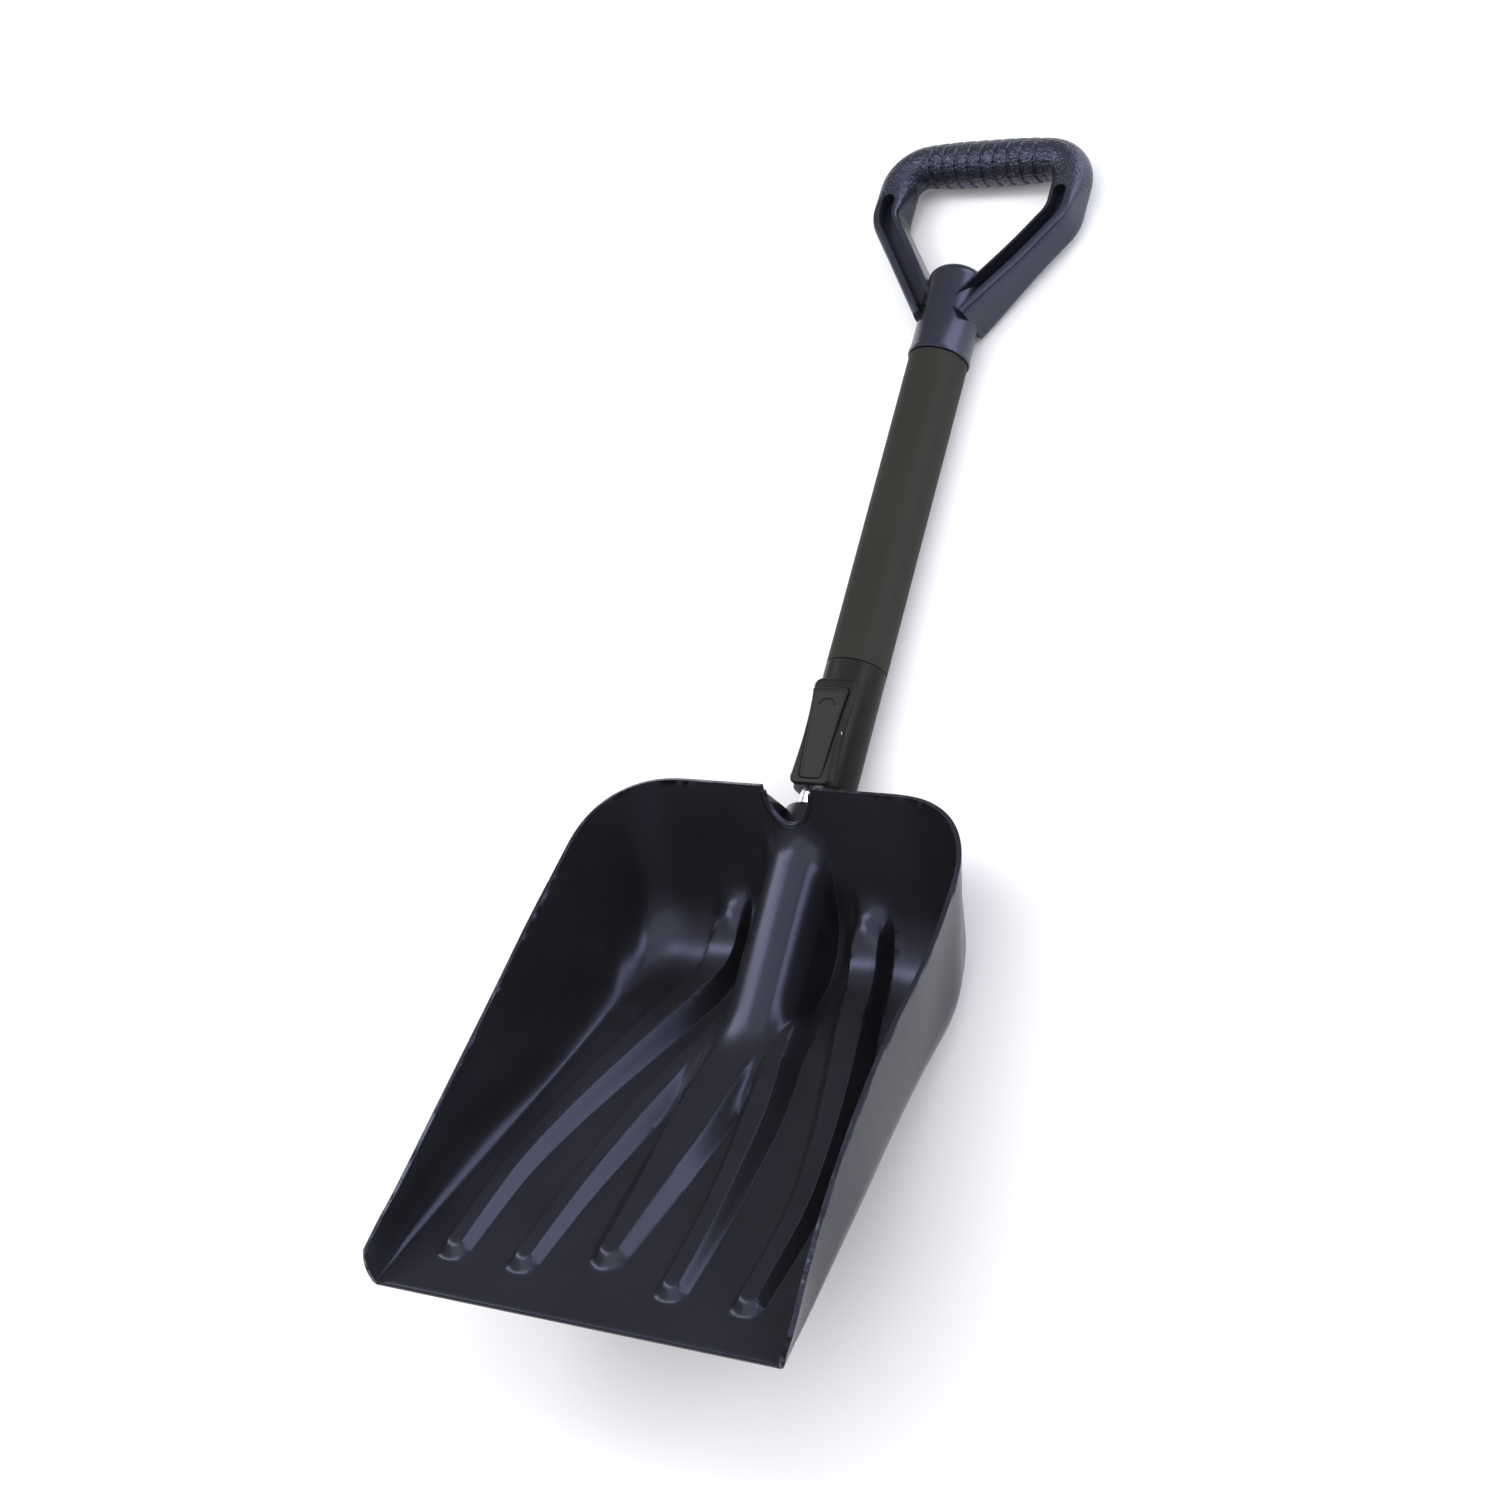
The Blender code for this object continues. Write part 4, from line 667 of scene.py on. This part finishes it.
bright, where, feed = finish_for("bright_tube", handle_place, Metallic=1.0, Anisotropic=0.4)
draw = where.noise(700, (1, 1, 0.006), detail=3)
smear = where.noise(60, (1, 1, 0.25), detail=4)
feed(Base_Color=smear.step(0.3, 0.75).blend((0.83, 0.84, 0.85, 1), (0.70, 0.70, 0.69, 1)),
     Roughness=0.13 + draw * 0.12 + smear * 0.10,
     Normal=draw.bump(0.00002, 0.4))

inner = make_piece("inner_tube_bright", turned([
    (tube_bore, touch + lip), (tube_bore + lip, touch), (tube_radius - lip, touch),
    (tube_radius, touch + lip), (tube_radius, tube_length - lip),
    (tube_radius - lip, tube_length), (tube_bore + lip, tube_length),
    (tube_bore, tube_length - lip)]), handle_place)
for number in range(7):
    along = lock_place + number * hole_pitch
    work(inner, "DIFFERENCE", plate(ring_of(pin_radius + pin_play, 0, along), tube_bore - past,
                                    tube_radius + past, front))
for along in screw_places:
    work(inner, "DIFFERENCE", plate(ring_of(screw_shank + touch, 0, along), tube_bore - past,
                                    tube_radius + past, rear))
fit(inner, bright, "scoop", "bright_tube", "inner_tube")


# Tube guide -----------------------------------------------------------------------------------
# A turned nylon cap on the end of the inner tube, hidden inside the handle. Its skirt runs
# against the bore of the outer tube and keeps the two tubes from rattling.

guide_outer = 0.0157
guide_low = tube_length - 0.016
nylon, where, feed = finish_for("guide_nylon", handle_place, IOR=1.53)
cloud = where.noise(180, detail=3)
feed(Base_Color=cloud.blend((0.56, 0.55, 0.50, 1), (0.62, 0.61, 0.57, 1)),
     Roughness=0.42 + cloud * 0.15, Normal=cloud.bump(0.00005, 0.5))
guide = make_piece("tube_guide_cap", turned([
    (tube_radius + touch, guide_low), (guide_outer - 0.0008, guide_low),
    (guide_outer, guide_low + 0.001), (guide_outer, guide_low + 0.0060),
    (guide_outer - 0.0006, guide_low + 0.0066), (guide_outer - 0.0006, guide_low + 0.0094),
    (guide_outer, guide_low + 0.0100), (guide_outer, tube_length + 0.0013),
    (guide_outer - 0.001, tube_length + 0.0023), (0.004, tube_length + 0.0023),
    (0.004, tube_length + touch), (tube_radius + touch, tube_length + touch)]), handle_place)
fit(guide, nylon, "scoop", "guide_nylon", "tube_guide")


# Screws ---------------------------------------------------------------------------------------
# Four small zinc-plated pan-head screws with a cross recess, driven in from the back: two hold
# the inner tube in its socket, one the lock housing and one the grip.

head_radius, head_height = 0.0034, 0.0010
outer_radius = 0.0175
housing_end, collar_at = 0.190, 0.3906
housing_screw_at, grip_screw_at = housing_end + 0.008, collar_at - 0.012

zinc, where, feed = finish_for("screw_zinc", handle_place, Metallic=1.0)
plating = where.noise(900, detail=3)
feed(Base_Color=plating.blend((0.62, 0.62, 0.60, 1), (0.50, 0.51, 0.53, 1)),
     Roughness=0.24 + plating * 0.2, Normal=plating.bump(0.00002, 0.5))


def screw(name, along, seat, depth, body, node):
    """A screw whose head bears on the back of the handle, seat metres from the axis."""
    base, top = seat + touch, seat + head_height
    threads = []
    for k in range(int((depth - 0.0012) / 0.0006)):
        low = seat - depth + 0.0008 + 0.0006 * k
        threads += [(screw_shank * 0.78, low), (screw_shank, low + 0.0003)]
    shape = turned([(0, seat - depth), (screw_shank * 0.6, seat - depth)] + threads
                   + [(screw_shank * 0.8, base), (head_radius - 0.0001, base),
                      (head_radius, base + 0.0001), (head_radius * 0.93, seat + 0.6 * head_height),
                      (head_radius * 0.80, seat + 0.85 * head_height),
                      (head_radius * 0.55, top), (0, top)], 48)
    place = (handle_place @ Matrix.Translation((0, 0, along))
             @ Matrix.Rotation(-math.pi / 2, 4, "X"))
    piece = make_piece(name, shape, place, 30)
    for wide, narrow in ((0.0017, 0.0003), (0.0003, 0.0017)):
        slot = [(-wide, -narrow), (wide, -narrow), (wide, narrow), (-wide, narrow)]
        work(piece, "DIFFERENCE", plate(slot, top - 0.0007, top + 0.001,
                                        lambda u, v, w: (u, v, w)))
    return fit(piece, zinc, body, "screw_steel", node)


def sleeve_radius(along):
    share = min(max((along - socket_depth + taper_length) / taper_length, 0.0), 1.0)
    return socket_radius + (socket_mouth - socket_radius) * share


for number, along in enumerate(screw_places, 1):
    seat = sleeve_radius(along - head_radius)
    screw(f"socket_screw_{number}_head", along, seat, seat - tube_radius + 0.003, "scoop",
          f"socket_screw_{number}")
screw("housing_screw_head", housing_screw_at, outer_radius, 0.0035, "handle", "housing_screw")
screw("grip_screw_head", grip_screw_at, outer_radius, 0.0045, "handle", "grip_screw")


# Outer tube -----------------------------------------------------------------------------------
# The handle's 35 mm aluminium tube under a dull brown-black coating. It is pushed on to the
# spigots of the lock housing and the grip, and a screw through its back holds each.

outer_bore = 0.0160
coat, where, feed = finish_for("tube_coating", handle_place, IOR=1.45, Specular_IOR_Level=0.13)
peel = where.noise(420, detail=2)
shade = where.noise(30, (1, 1, 0.4), detail=4)
rub = where.noise(260, (1, 1, 0.05), detail=5, rough=0.6).step(0.63, 0.80)
feed(Base_Color=shade.step(0.3, 0.7).blend((0.0180, 0.0163, 0.0132, 1),
                                           (0.0215, 0.0193, 0.0160, 1)),
     Roughness=0.50 + shade * 0.10 - rub * 0.08,
     Normal=peel.bump(0.00004, 0.35))
low, high = housing_end + touch, housing_end + touch + 0.2000
outer = make_piece("outer_tube_coated", turned([
    (outer_bore, low), (outer_radius - 0.0003, low), (outer_radius, low + 0.0003),
    (outer_radius, high - 0.0003), (outer_radius - 0.0003, high), (outer_bore, high)]),
    handle_place)
for along in (housing_screw_at, grip_screw_at):
    work(outer, "DIFFERENCE", plate(ring_of(screw_shank + touch, 0, along), outer_bore - past,
                                    outer_radius + past, rear))
fit(outer, coat, "handle", "tube_paint", "outer_tube")


# Lock housing ---------------------------------------------------------------------------------
# The black satin moulding at the lower end of the outer tube. The inner tube slides through it,
# and a block on its front carries the rocker in a pocket, on a cross pin.

housing_low = 0.1143
block_height, pocket_floor = 0.0196, 0.0156
lever_upper, lever_lower = 0.0252, 0.0285
lever_upper_width, lever_lower_width = 0.0106, 0.0066
lever_gap, boss_radius, cross_radius = 0.0004, 0.0027, 0.0012
pin_along, spring_along, spring_radius, spring_wire = 0.0225, 0.0165, 0.0021, 0.00035
spring_seat, spring_length = pocket_floor - 0.0009, 0.0048
bore_radius = tube_radius + 0.0003
spigot_radius, spigot_end = outer_bore - touch, housing_end + 0.016
block_wide, block_waist, block_round = 0.0127, 0.0112, 0.0014


def across(u, v, w):
    """Outline along the handle and outward on the lever's side, level across."""
    return (w, -v, u)


def waisted(low, waist_at, high, low_width, waist, high_width, corner, steps=12):
    """A long outline with round corners, its sides curving in at the waist."""
    def width(along):
        return curve_at(((low, low_width), (waist_at, waist), (high, high_width)), along)
    right = []
    for k in range(steps + 1):
        turn = math.pi / 2 * k / steps
        right.append((width(low) - corner + corner * math.sin(turn),
                      low + corner - corner * math.cos(turn)))
    for k in range(1, 2 * steps):
        along = low + corner + (high - low - 2 * corner) * k / (2 * steps)
        right.append((width(along), along))
    for k in range(steps + 1):
        turn = math.pi / 2 * k / steps
        right.append((width(high) - corner + corner * math.cos(turn),
                      high - corner + corner * math.sin(turn)))
    return right + [(-u, v) for u, v in reversed(right)]


def lever_outline(grow):
    waist = (lever_lower_width + lever_upper_width) / 2
    return waisted(pivot_along - lever_lower - grow, pivot_along,
                   pivot_along + lever_upper + grow, lever_lower_width + grow, waist + grow,
                   lever_upper_width + grow, 0.0024 + grow)


satin, where, feed = finish_for("lock_satin", handle_place, IOR=1.5, Specular_IOR_Level=0.13)
haze = where.noise(90, detail=4)
grit = where.noise(2600, detail=2)
feed(Base_Color=haze.blend((0.0060, 0.0055, 0.0046, 1), (0.0080, 0.0074, 0.0062, 1)),
     Roughness=0.30 + haze * 0.12, Normal=grit.bump(0.00002, 0.5, where.soft_edges(0.0005)))
edge = 0.0008
housing = make_piece("lock_housing_moulding", turned([
    (bore_radius + edge, housing_low), (outer_radius - edge, housing_low),
    (outer_radius - 0.3 * edge, housing_low + 0.3 * edge), (outer_radius, housing_low + edge),
    (outer_radius, housing_end - 0.0003), (outer_radius - 0.0003, housing_end),
    (spigot_radius, housing_end), (spigot_radius, spigot_end - edge),
    (spigot_radius - edge, spigot_end), (bore_radius, spigot_end),
    (bore_radius, housing_low + edge)], 80), handle_place)
block = plate(waisted(housing_low - 0.0018, pivot_along, pivot_along + lever_upper + 0.0062,
                      block_wide, block_waist, block_wide, 0.0045),
              bore_radius + 0.0006, block_height, front)
top_edges = [e for e in block.edges if all(v.co.y < -block_height + 1e-6 for v in e.verts)]
bmesh.ops.bevel(block, geom=top_edges, offset=block_round, segments=5, profile=0.5,
                affect="EDGES")
work(housing, "UNION", block)
pocket = plate(lever_outline(lever_gap), pocket_floor, block_height + 0.006, front)
mouth_edge = plate(lever_outline(lever_gap + 0.0004), block_height - 0.0003,
                   block_height + 0.006, front)
work(housing, "DIFFERENCE", pocket, mouth_edge)
half = boss_radius + lever_gap
trench = [(pivot_along - half, pocket_floor + 0.001), (pivot_along - half, bore_radius - 0.0006),
          (pivot_along + half, bore_radius - 0.0006), (pivot_along + half, pocket_floor + 0.001)]
reach = (lever_lower_width + lever_upper_width) / 2
wells = [plate(trench, -reach, reach, across),
         plate(ring_of(cross_radius + touch, pivot_along, pivot_height), -0.02, 0.02, across),
         plate(ring_of(pin_radius + pin_play, 0, lock_place), bore_radius - 0.004,
               pocket_floor + 0.001, front),
         plate(ring_of(spring_radius + 3 * spring_wire, 0, pivot_along + spring_along),
               spring_seat - touch, pocket_floor + 0.001, front),
         plate(ring_of(screw_shank + touch, 0, housing_screw_at), bore_radius + 0.0004,
               outer_radius, rear)]
work(housing, "DIFFERENCE", *wells)
fit(housing, satin, "handle", "lock_plastic", "lock_housing")


# Rocker ---------------------------------------------------------------------------------------
# The lock's thumb lever: a waisted black moulding with a dished, finely textured face and a
# raised arc under the thumb. It turns on the cross pin and carries the lock pin at its low end.

lever_place = handle_place @ Matrix.Translation((0, -pivot_height, pivot_along))


def lever_face(along):
    knots = ((-lever_lower, block_height - 0.0003), (0.0, block_height + 0.0012),
             (lever_upper, block_height + 0.0028))
    drop = max(along - lever_upper + 0.0026, 0) / 0.0026
    return curve_at(knots, along) - pivot_height - 0.0014 * drop**2


textured, where, feed = finish_for("lever_texture", handle_place, IOR=1.5, Specular_IOR_Level=0.13)
haze = where.noise(120, detail=3)
grit = where.noise(2200, detail=3)
feed(Base_Color=haze.blend((0.0125, 0.0112, 0.0094, 1), (0.0155, 0.0140, 0.0118, 1)),
     Roughness=0.38 + haze * 0.12, Normal=grit.bump(0.00004, 0.6, where.soft_edges(0.0004)))
steps = 36
stations = [-lever_lower + (lever_lower + lever_upper) * k / steps for k in range(steps + 1)]
side_view = [(along, lever_face(along)) for along in stations]
side_view += [(lever_upper, block_height - pivot_height - 0.0002),
              (boss_radius, cross_radius + 0.0004), (-boss_radius, cross_radius + 0.0004),
              (-lever_lower, pocket_floor + lever_gap - pivot_height)]
rocker = make_piece("rocker_lever", plate(side_view, -0.02, 0.02, across), lever_place)
trim = [(u, v - pivot_along) for u, v in lever_outline(0.0)]
work(rocker, "INTERSECT", plate(trim, -0.01, 0.02, front))
round_edges(rocker, 0.0006, angle=50, segments=3)
dish = [(along, lever_face(along) - 0.0002) for along in stations]
dish += [(dish[-1][0], 0.02), (dish[0][0], 0.02)]
inset = [(u, v - pivot_along) for u, v in lever_outline(-0.0012)]
dished = make_piece("tool", plate(dish, -0.02, 0.02, across), lever_place)
work(dished, "INTERSECT", plate(inset, -0.01, 0.02, front))
cutter = bmesh.new()
cutter.from_mesh(dished.data)
bpy.data.objects.remove(dished)
work(rocker, "DIFFERENCE", cutter)
arc_at, arc_rise, arc_reach, arc_radius = 0.0135, 0.0046, 0.0052, 0.00045
thumb = []
for k in range(25):
    turn = math.radians(12 + 156 * k / 24)
    along = arc_at + arc_rise * math.sin(turn)
    thumb.append(Vector((arc_reach * math.cos(turn), 0.0001 - lever_face(along), along)))
arc_bar = bmesh.new()
rings = []
for k, here in enumerate(thumb):
    ahead = (thumb[min(k + 1, 24)] - thumb[max(k - 1, 0)]).normalized()
    level = Vector((0, 1, 0))
    side = ahead.cross(level).normalized()
    rings.append([arc_bar.verts.new(here + (side * math.cos(a) + level * math.sin(a)) * arc_radius)
                  for a in (2 * math.pi * (n + 0.5) / 10 for n in range(10))])
join_rings(arc_bar, rings)
work(rocker, "UNION", arc_bar, plate(ring_of(boss_radius), -0.0045, 0.0045, across))
pin_top = block_height - 0.0019 - pivot_height
spring_top = spring_seat + spring_length - pivot_height
work(rocker, "DIFFERENCE",
     plate(ring_of(cross_radius + touch), -0.02, 0.02, across),
     plate(ring_of(pin_radius + touch, 0, -pin_along), -0.01, pin_top + touch, front),
     plate(ring_of(spring_radius + 2.4 * spring_wire, 0, spring_along), -0.01,
           spring_top + touch, front))
fit(rocker, textured, "lever", "lever_plastic", "lock_lever")


# Lock pin, cross pin and spring ---------------------------------------------------------------
# The steel pin that drops into the inner tube's holes is pressed into the rocker. The cross pin
# goes through both cheeks of the housing, and a small coil spring lifts the thumb end.

tip = tube_radius - 0.0018 - pivot_height
pin = make_piece("lock_pin_steel", turned([
    (0, tip), (pin_radius - 0.0009, tip), (pin_radius - 0.0003, tip + 0.0003),
    (pin_radius, tip + 0.0009), (pin_radius, pin_top - 0.0002), (pin_radius - 0.0002, pin_top),
    (0, pin_top)], 48),
    lever_place @ Matrix.Translation((0, 0, -pin_along)) @ Matrix.Rotation(math.pi / 2, 4, "X"))
fit(pin, zinc, "lever", "screw_steel", "lock_pin")

half = block_waist - 0.0004
cross = make_piece("cross_pin_steel", turned([
    (0, -half), (cross_radius - 0.0002, -half), (cross_radius, 0.0002 - half),
    (cross_radius, half - 0.0002), (cross_radius - 0.0002, half), (0, half)], 40),
    lever_place @ Matrix.Rotation(math.pi / 2, 4, "Y"))
fit(cross, zinc, "handle", "screw_steel", "lever_pivot_pin")

wire, where, feed = finish_for("spring_wire", handle_place, Metallic=1.0, Roughness=0.3)
stain = where.noise(1500, detail=2)
feed(Base_Color=stain.blend((0.46, 0.46, 0.48, 1), (0.36, 0.36, 0.37, 1)),
     Roughness=0.25 + stain * 0.2)
coil = []
turns_of_wire = 4
for k in range(24 * turns_of_wire + 1):
    turn = 2 * math.pi * k / 24
    up = spring_seat + spring_wire + (spring_length - 2 * spring_wire) * k / (24 * turns_of_wire)
    coil.append(Vector((spring_radius * math.cos(turn), -up,
                        pivot_along + spring_along + spring_radius * math.sin(turn))))
spring = make_piece("return_spring", swept(coil, spring_wire, 8), handle_place)
fit(spring, wire, "handle", "spring_steel", "lever_spring")
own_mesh(spring)


# Grip -----------------------------------------------------------------------------------------
# The D-grip: one blue-black moulding with a round grooved bar, grained where the hand holds it,
# two channelled arms, and a domed socket whose spigot goes down inside the outer tube.

bar_height, side_reach = 0.1383, 0.0576
bar_radius, shoulder_radius = 0.0139, 0.0119
top_bend, arm_bend, bend_at, arm_angle = 0.018, 0.022, 0.0960, math.radians(35)
arm_half_width, arm_half_depth, arm_web = 0.0085, 0.0120, 0.0056
inner_flange, outer_flange, recess_top = 0.0034, 0.0052, 0.1120
grooves, groove_pitch, groove_depth = 11, 0.0086, 0.0013
collar_radius, collar_bead, collar_length = 0.0180, 0.0005, 0.0032
root_depth = 0.0040                        # how much deeper an arm is where it joins the socket
grip_socket_length, dome = 0.0520, 0.0105
grip_place = handle_place @ Matrix.Translation((0, 0, collar_at))


def grip_line():
    """The middle line of one half of the loop as (x, z, heading), heading turning inward."""
    tangent = arm_bend * math.tan(arm_angle / 2)
    arm_top = bend_at + tangent
    low_x = side_reach - tangent * math.sin(arm_angle)
    low_z = arm_top - tangent - tangent * math.cos(arm_angle)
    run = (low_x - 0.010) / math.sin(arm_angle)
    line = []
    for k in range(12):
        back = run * (1 - k / 12)
        line.append((low_x - back * math.sin(arm_angle), low_z - back * math.cos(arm_angle),
                     -arm_angle))
    for k in range(9):
        turn = -arm_angle * (1 - k / 8)
        line.append((side_reach - arm_bend * (1 - math.cos(turn)),
                     arm_top + arm_bend * math.sin(turn), turn))
    for k in range(17):
        turn = math.pi / 2 * k / 16
        line.append((side_reach - top_bend * (1 - math.cos(turn)),
                     bar_height - top_bend + top_bend * math.sin(turn), turn))
    return line


def bar_dips():
    """Places across the bar from left to right, with the depth of the surface at each."""
    dips = []
    for number in range(grooves):
        middle = (number - (grooves - 1) / 2) * groove_pitch
        if abs(middle) < side_reach - top_bend - 0.002:
            for aside, share in ((-0.0032, -0.14), (-0.0015, -0.04), (-0.0007, 0.9), (0.0, 1.0),
                                 (0.0007, 0.9), (0.0015, -0.04), (0.0032, -0.14)):
                dips.append((middle + aside, share * groove_depth))
    return dips


def grip_ring(shape, x, z, heading, sunk=0.0, sides=48):
    arm = 1 - ease((z - (recess_top - 0.012)) / 0.016)
    swell = ease(math.cos(math.pi / 2 * min(abs(x) / side_reach, 1)))
    radius = shoulder_radius + (bar_radius - shoulder_radius) * swell
    root = 1 - ease((z - 0.028) / 0.050)
    wide = radius + (arm_half_width - radius) * arm - sunk
    deep = radius + (arm_half_depth - radius) * arm + root_depth * root - sunk
    squareness = 1.0 - 0.68 * arm
    lean = Vector((math.cos(heading), 0, math.sin(heading)))
    points = []
    for k in range(sides):
        turn = 2 * math.pi * (k + 0.5) / sides
        c, s = math.cos(turn), math.sin(turn)
        u = math.copysign(abs(c)**squareness, c) * wide
        w = math.copysign(abs(s)**squareness, s) * deep
        points.append(shape.verts.new(Vector((x, w, z)) + lean * u))
    return points


loop = bmesh.new()
line = grip_line()
rings = [grip_ring(loop, *place) for place in line]
rings += [grip_ring(loop, x, bar_height, math.pi / 2, sunk) for x, sunk in reversed(bar_dips())]
rings += [grip_ring(loop, -x, z, math.pi - heading) for x, z, heading in reversed(line)]
join_rings(loop, rings)
grip = make_piece("d_grip_moulding", loop, grip_place, 40)

outline = [(0, -0.025), (spigot_radius - 0.001, -0.025), (spigot_radius, -0.023),
           (spigot_radius, 0.0), (collar_radius + collar_bead - 0.0004, 0.0),
           (collar_radius + collar_bead, 0.0004),
           (collar_radius + collar_bead, collar_length - 0.0005),
           (collar_radius + 0.7 * collar_bead, collar_length),
           (collar_radius, collar_length + 2 * collar_bead)]
for k in range(16):
    turn = math.pi / 2 * k / 16
    outline.append((collar_radius * math.cos(turn), grip_socket_length + dome * math.sin(turn)))
outline.append((0, grip_socket_length + dome))

half = arm_half_width - (inner_flange + outer_flange) / 2
inward = (outer_flange - inner_flange) / 2
channel = [(x, z, h) for x, z, h in line if z < recess_top - half]
last_x, last_z, last_h = channel[-1]
end_z = recess_top - half
channel.append((min(last_x + (end_z - last_z) * math.tan(-last_h), side_reach), end_z, 0))
channel = [(x - inward * math.cos(h), z - inward * math.sin(h), h) for x, z, h in channel]
inner_side = [(x - half * math.cos(h), z - half * math.sin(h)) for x, z, h in channel]
outer_side = [(x + half * math.cos(h), z + half * math.sin(h)) for x, z, h in channel]
top_x, top_z, _ = channel[-1]
cap = [(top_x + half * math.cos(math.pi * k / 16), top_z + half * math.sin(math.pi * k / 16))
       for k in range(1, 16)]
recess = outer_side + cap + list(reversed(inner_side))
for side in (-1, 1):
    shaped = [(side * x, z) for x, z in recess]
    work(grip, "DIFFERENCE", plate(shaped, arm_web / 2, 0.03, front),
         plate(shaped, -0.03, -arm_web / 2, front))
work(grip, "UNION", turned(outline, 80, phase=0.3))
core = turned([(0, -0.030), (0.0122, -0.030), (0.0122, 0.044), (0.0082, 0.048), (0, 0.048)],
              80, phase=0.8)
hole = plate(ring_of(screw_shank + touch, 0, -0.012), 0.0092, outer_radius, rear)
work(grip, "DIFFERENCE", core, hole)

grained, where, feed = finish_for(
    "grip_plastic", grip_place, Specular_Tint=blue_gloss, Specular_IOR_Level=0.55, IOR=1.5)
mottle = where.noise(40, detail=4)
up = where.node("ShaderNodeSeparateXYZ", {"Vector": where}, output="Z")
hand = up.step(0.104, 0.118)
pebble = where.node("ShaderNodeTexVoronoi", {"Vector": where, "Scale": 640.0},
                    output="Distance", feature="SMOOTH_F1")
fine = where.noise(2400, detail=2)
feed(Base_Color=mottle.blend((0.0095, 0.0095, 0.0135, 1), (0.0125, 0.0125, 0.0185, 1)),
     Roughness=0.23 + mottle * 0.08 + pebble * hand * 0.10,
     Normal=(hand * (1 - pebble)).bump(0.00070, 1.0, fine.bump(0.00001, 0.4,
                                                               where.soft_edges(0.0004))))
fit(grip, grained, "handle", "grip_plastic", "d_grip")


# Floor, light and camera ----------------------------------------------------------------------
# A pale floor that the heel and the collar of the grip rest on, a wide soft light above, and
# three soft boxes at the sides, whose reflections show the ribs and the half-round.

def add_light(name, size, power, place, aim, colour=(1, 1, 1)):
    data = bpy.data.lights.new(name, "AREA")
    data.shape = "RECTANGLE"
    data.size, data.size_y = size
    data.energy = power
    data.color = colour
    light = bpy.data.objects.new(name, data)
    light.location = place
    light.rotation_euler = (Vector(aim) - Vector(place)).to_track_quat("-Z", "Y").to_euler()
    bpy.context.scene.collection.objects.link(light)


pale, where, feed = finish_for("pale_floor", Matrix(), Roughness=0.8, Specular_IOR_Level=0.2)
feed(Base_Color=where.noise(3, detail=2).blend((0.86, 0.86, 0.865, 1), (0.89, 0.89, 0.89, 1)))
ground = bmesh.new()
bmesh.ops.create_circle(ground, cap_ends=True, segments=96, radius=4)
floor = make_piece("floor", ground, Matrix.Translation((0, 0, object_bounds()[0].z)))
floor.data.materials.append(pale)

add_light("overhead", (3.2, 3.2), 48, (0.1, -0.2, 2.6), (0, 0, 0))
add_light("right_box", (2.2, 1.3), 38, (1.35, 1.45, 0.60), (0, -0.15, 0.05), (0.88, 0.90, 1))
add_light("right_high_box", (0.7, 1.0), 15, (1.75, 0.25, 1.35), (0, 0, 0.05), (0.90, 0.92, 1))
add_light("left_box", (0.35, 1.6), 15, (-1.15, 0.35, 1.35), (0, 0, 0.05), (0.92, 0.94, 1))

world = bpy.data.worlds.new("studio")
bpy.context.scene.world = world
world.use_nodes = True
sky = Signal(world.node_tree).node("ShaderNodeTexCoord", output="Generated")
rise = sky.node("ShaderNodeSeparateXYZ", {"Vector": sky}, output="Z").step(0.05, 0.9)
world.node_tree.links.new(rise.blend((0.20, 0.20, 0.21, 1), (0.70, 0.70, 0.72, 1)).socket,
                          world.node_tree.nodes["Background"].inputs["Color"])

camera = bpy.data.objects.new("camera", bpy.data.cameras.new("camera"))
camera.location = (0.70514, -0.482616, 1.200573)
camera.rotation_euler = [math.radians(turn) for turn in (25.964803, 27.163660, 16.090929)]
camera.data.lens = 62.36
camera.data.sensor_width = 36
bpy.context.scene.collection.objects.link(camera)
bpy.context.scene.camera = camera
bpy.context.scene.view_settings.view_transform = "Standard"
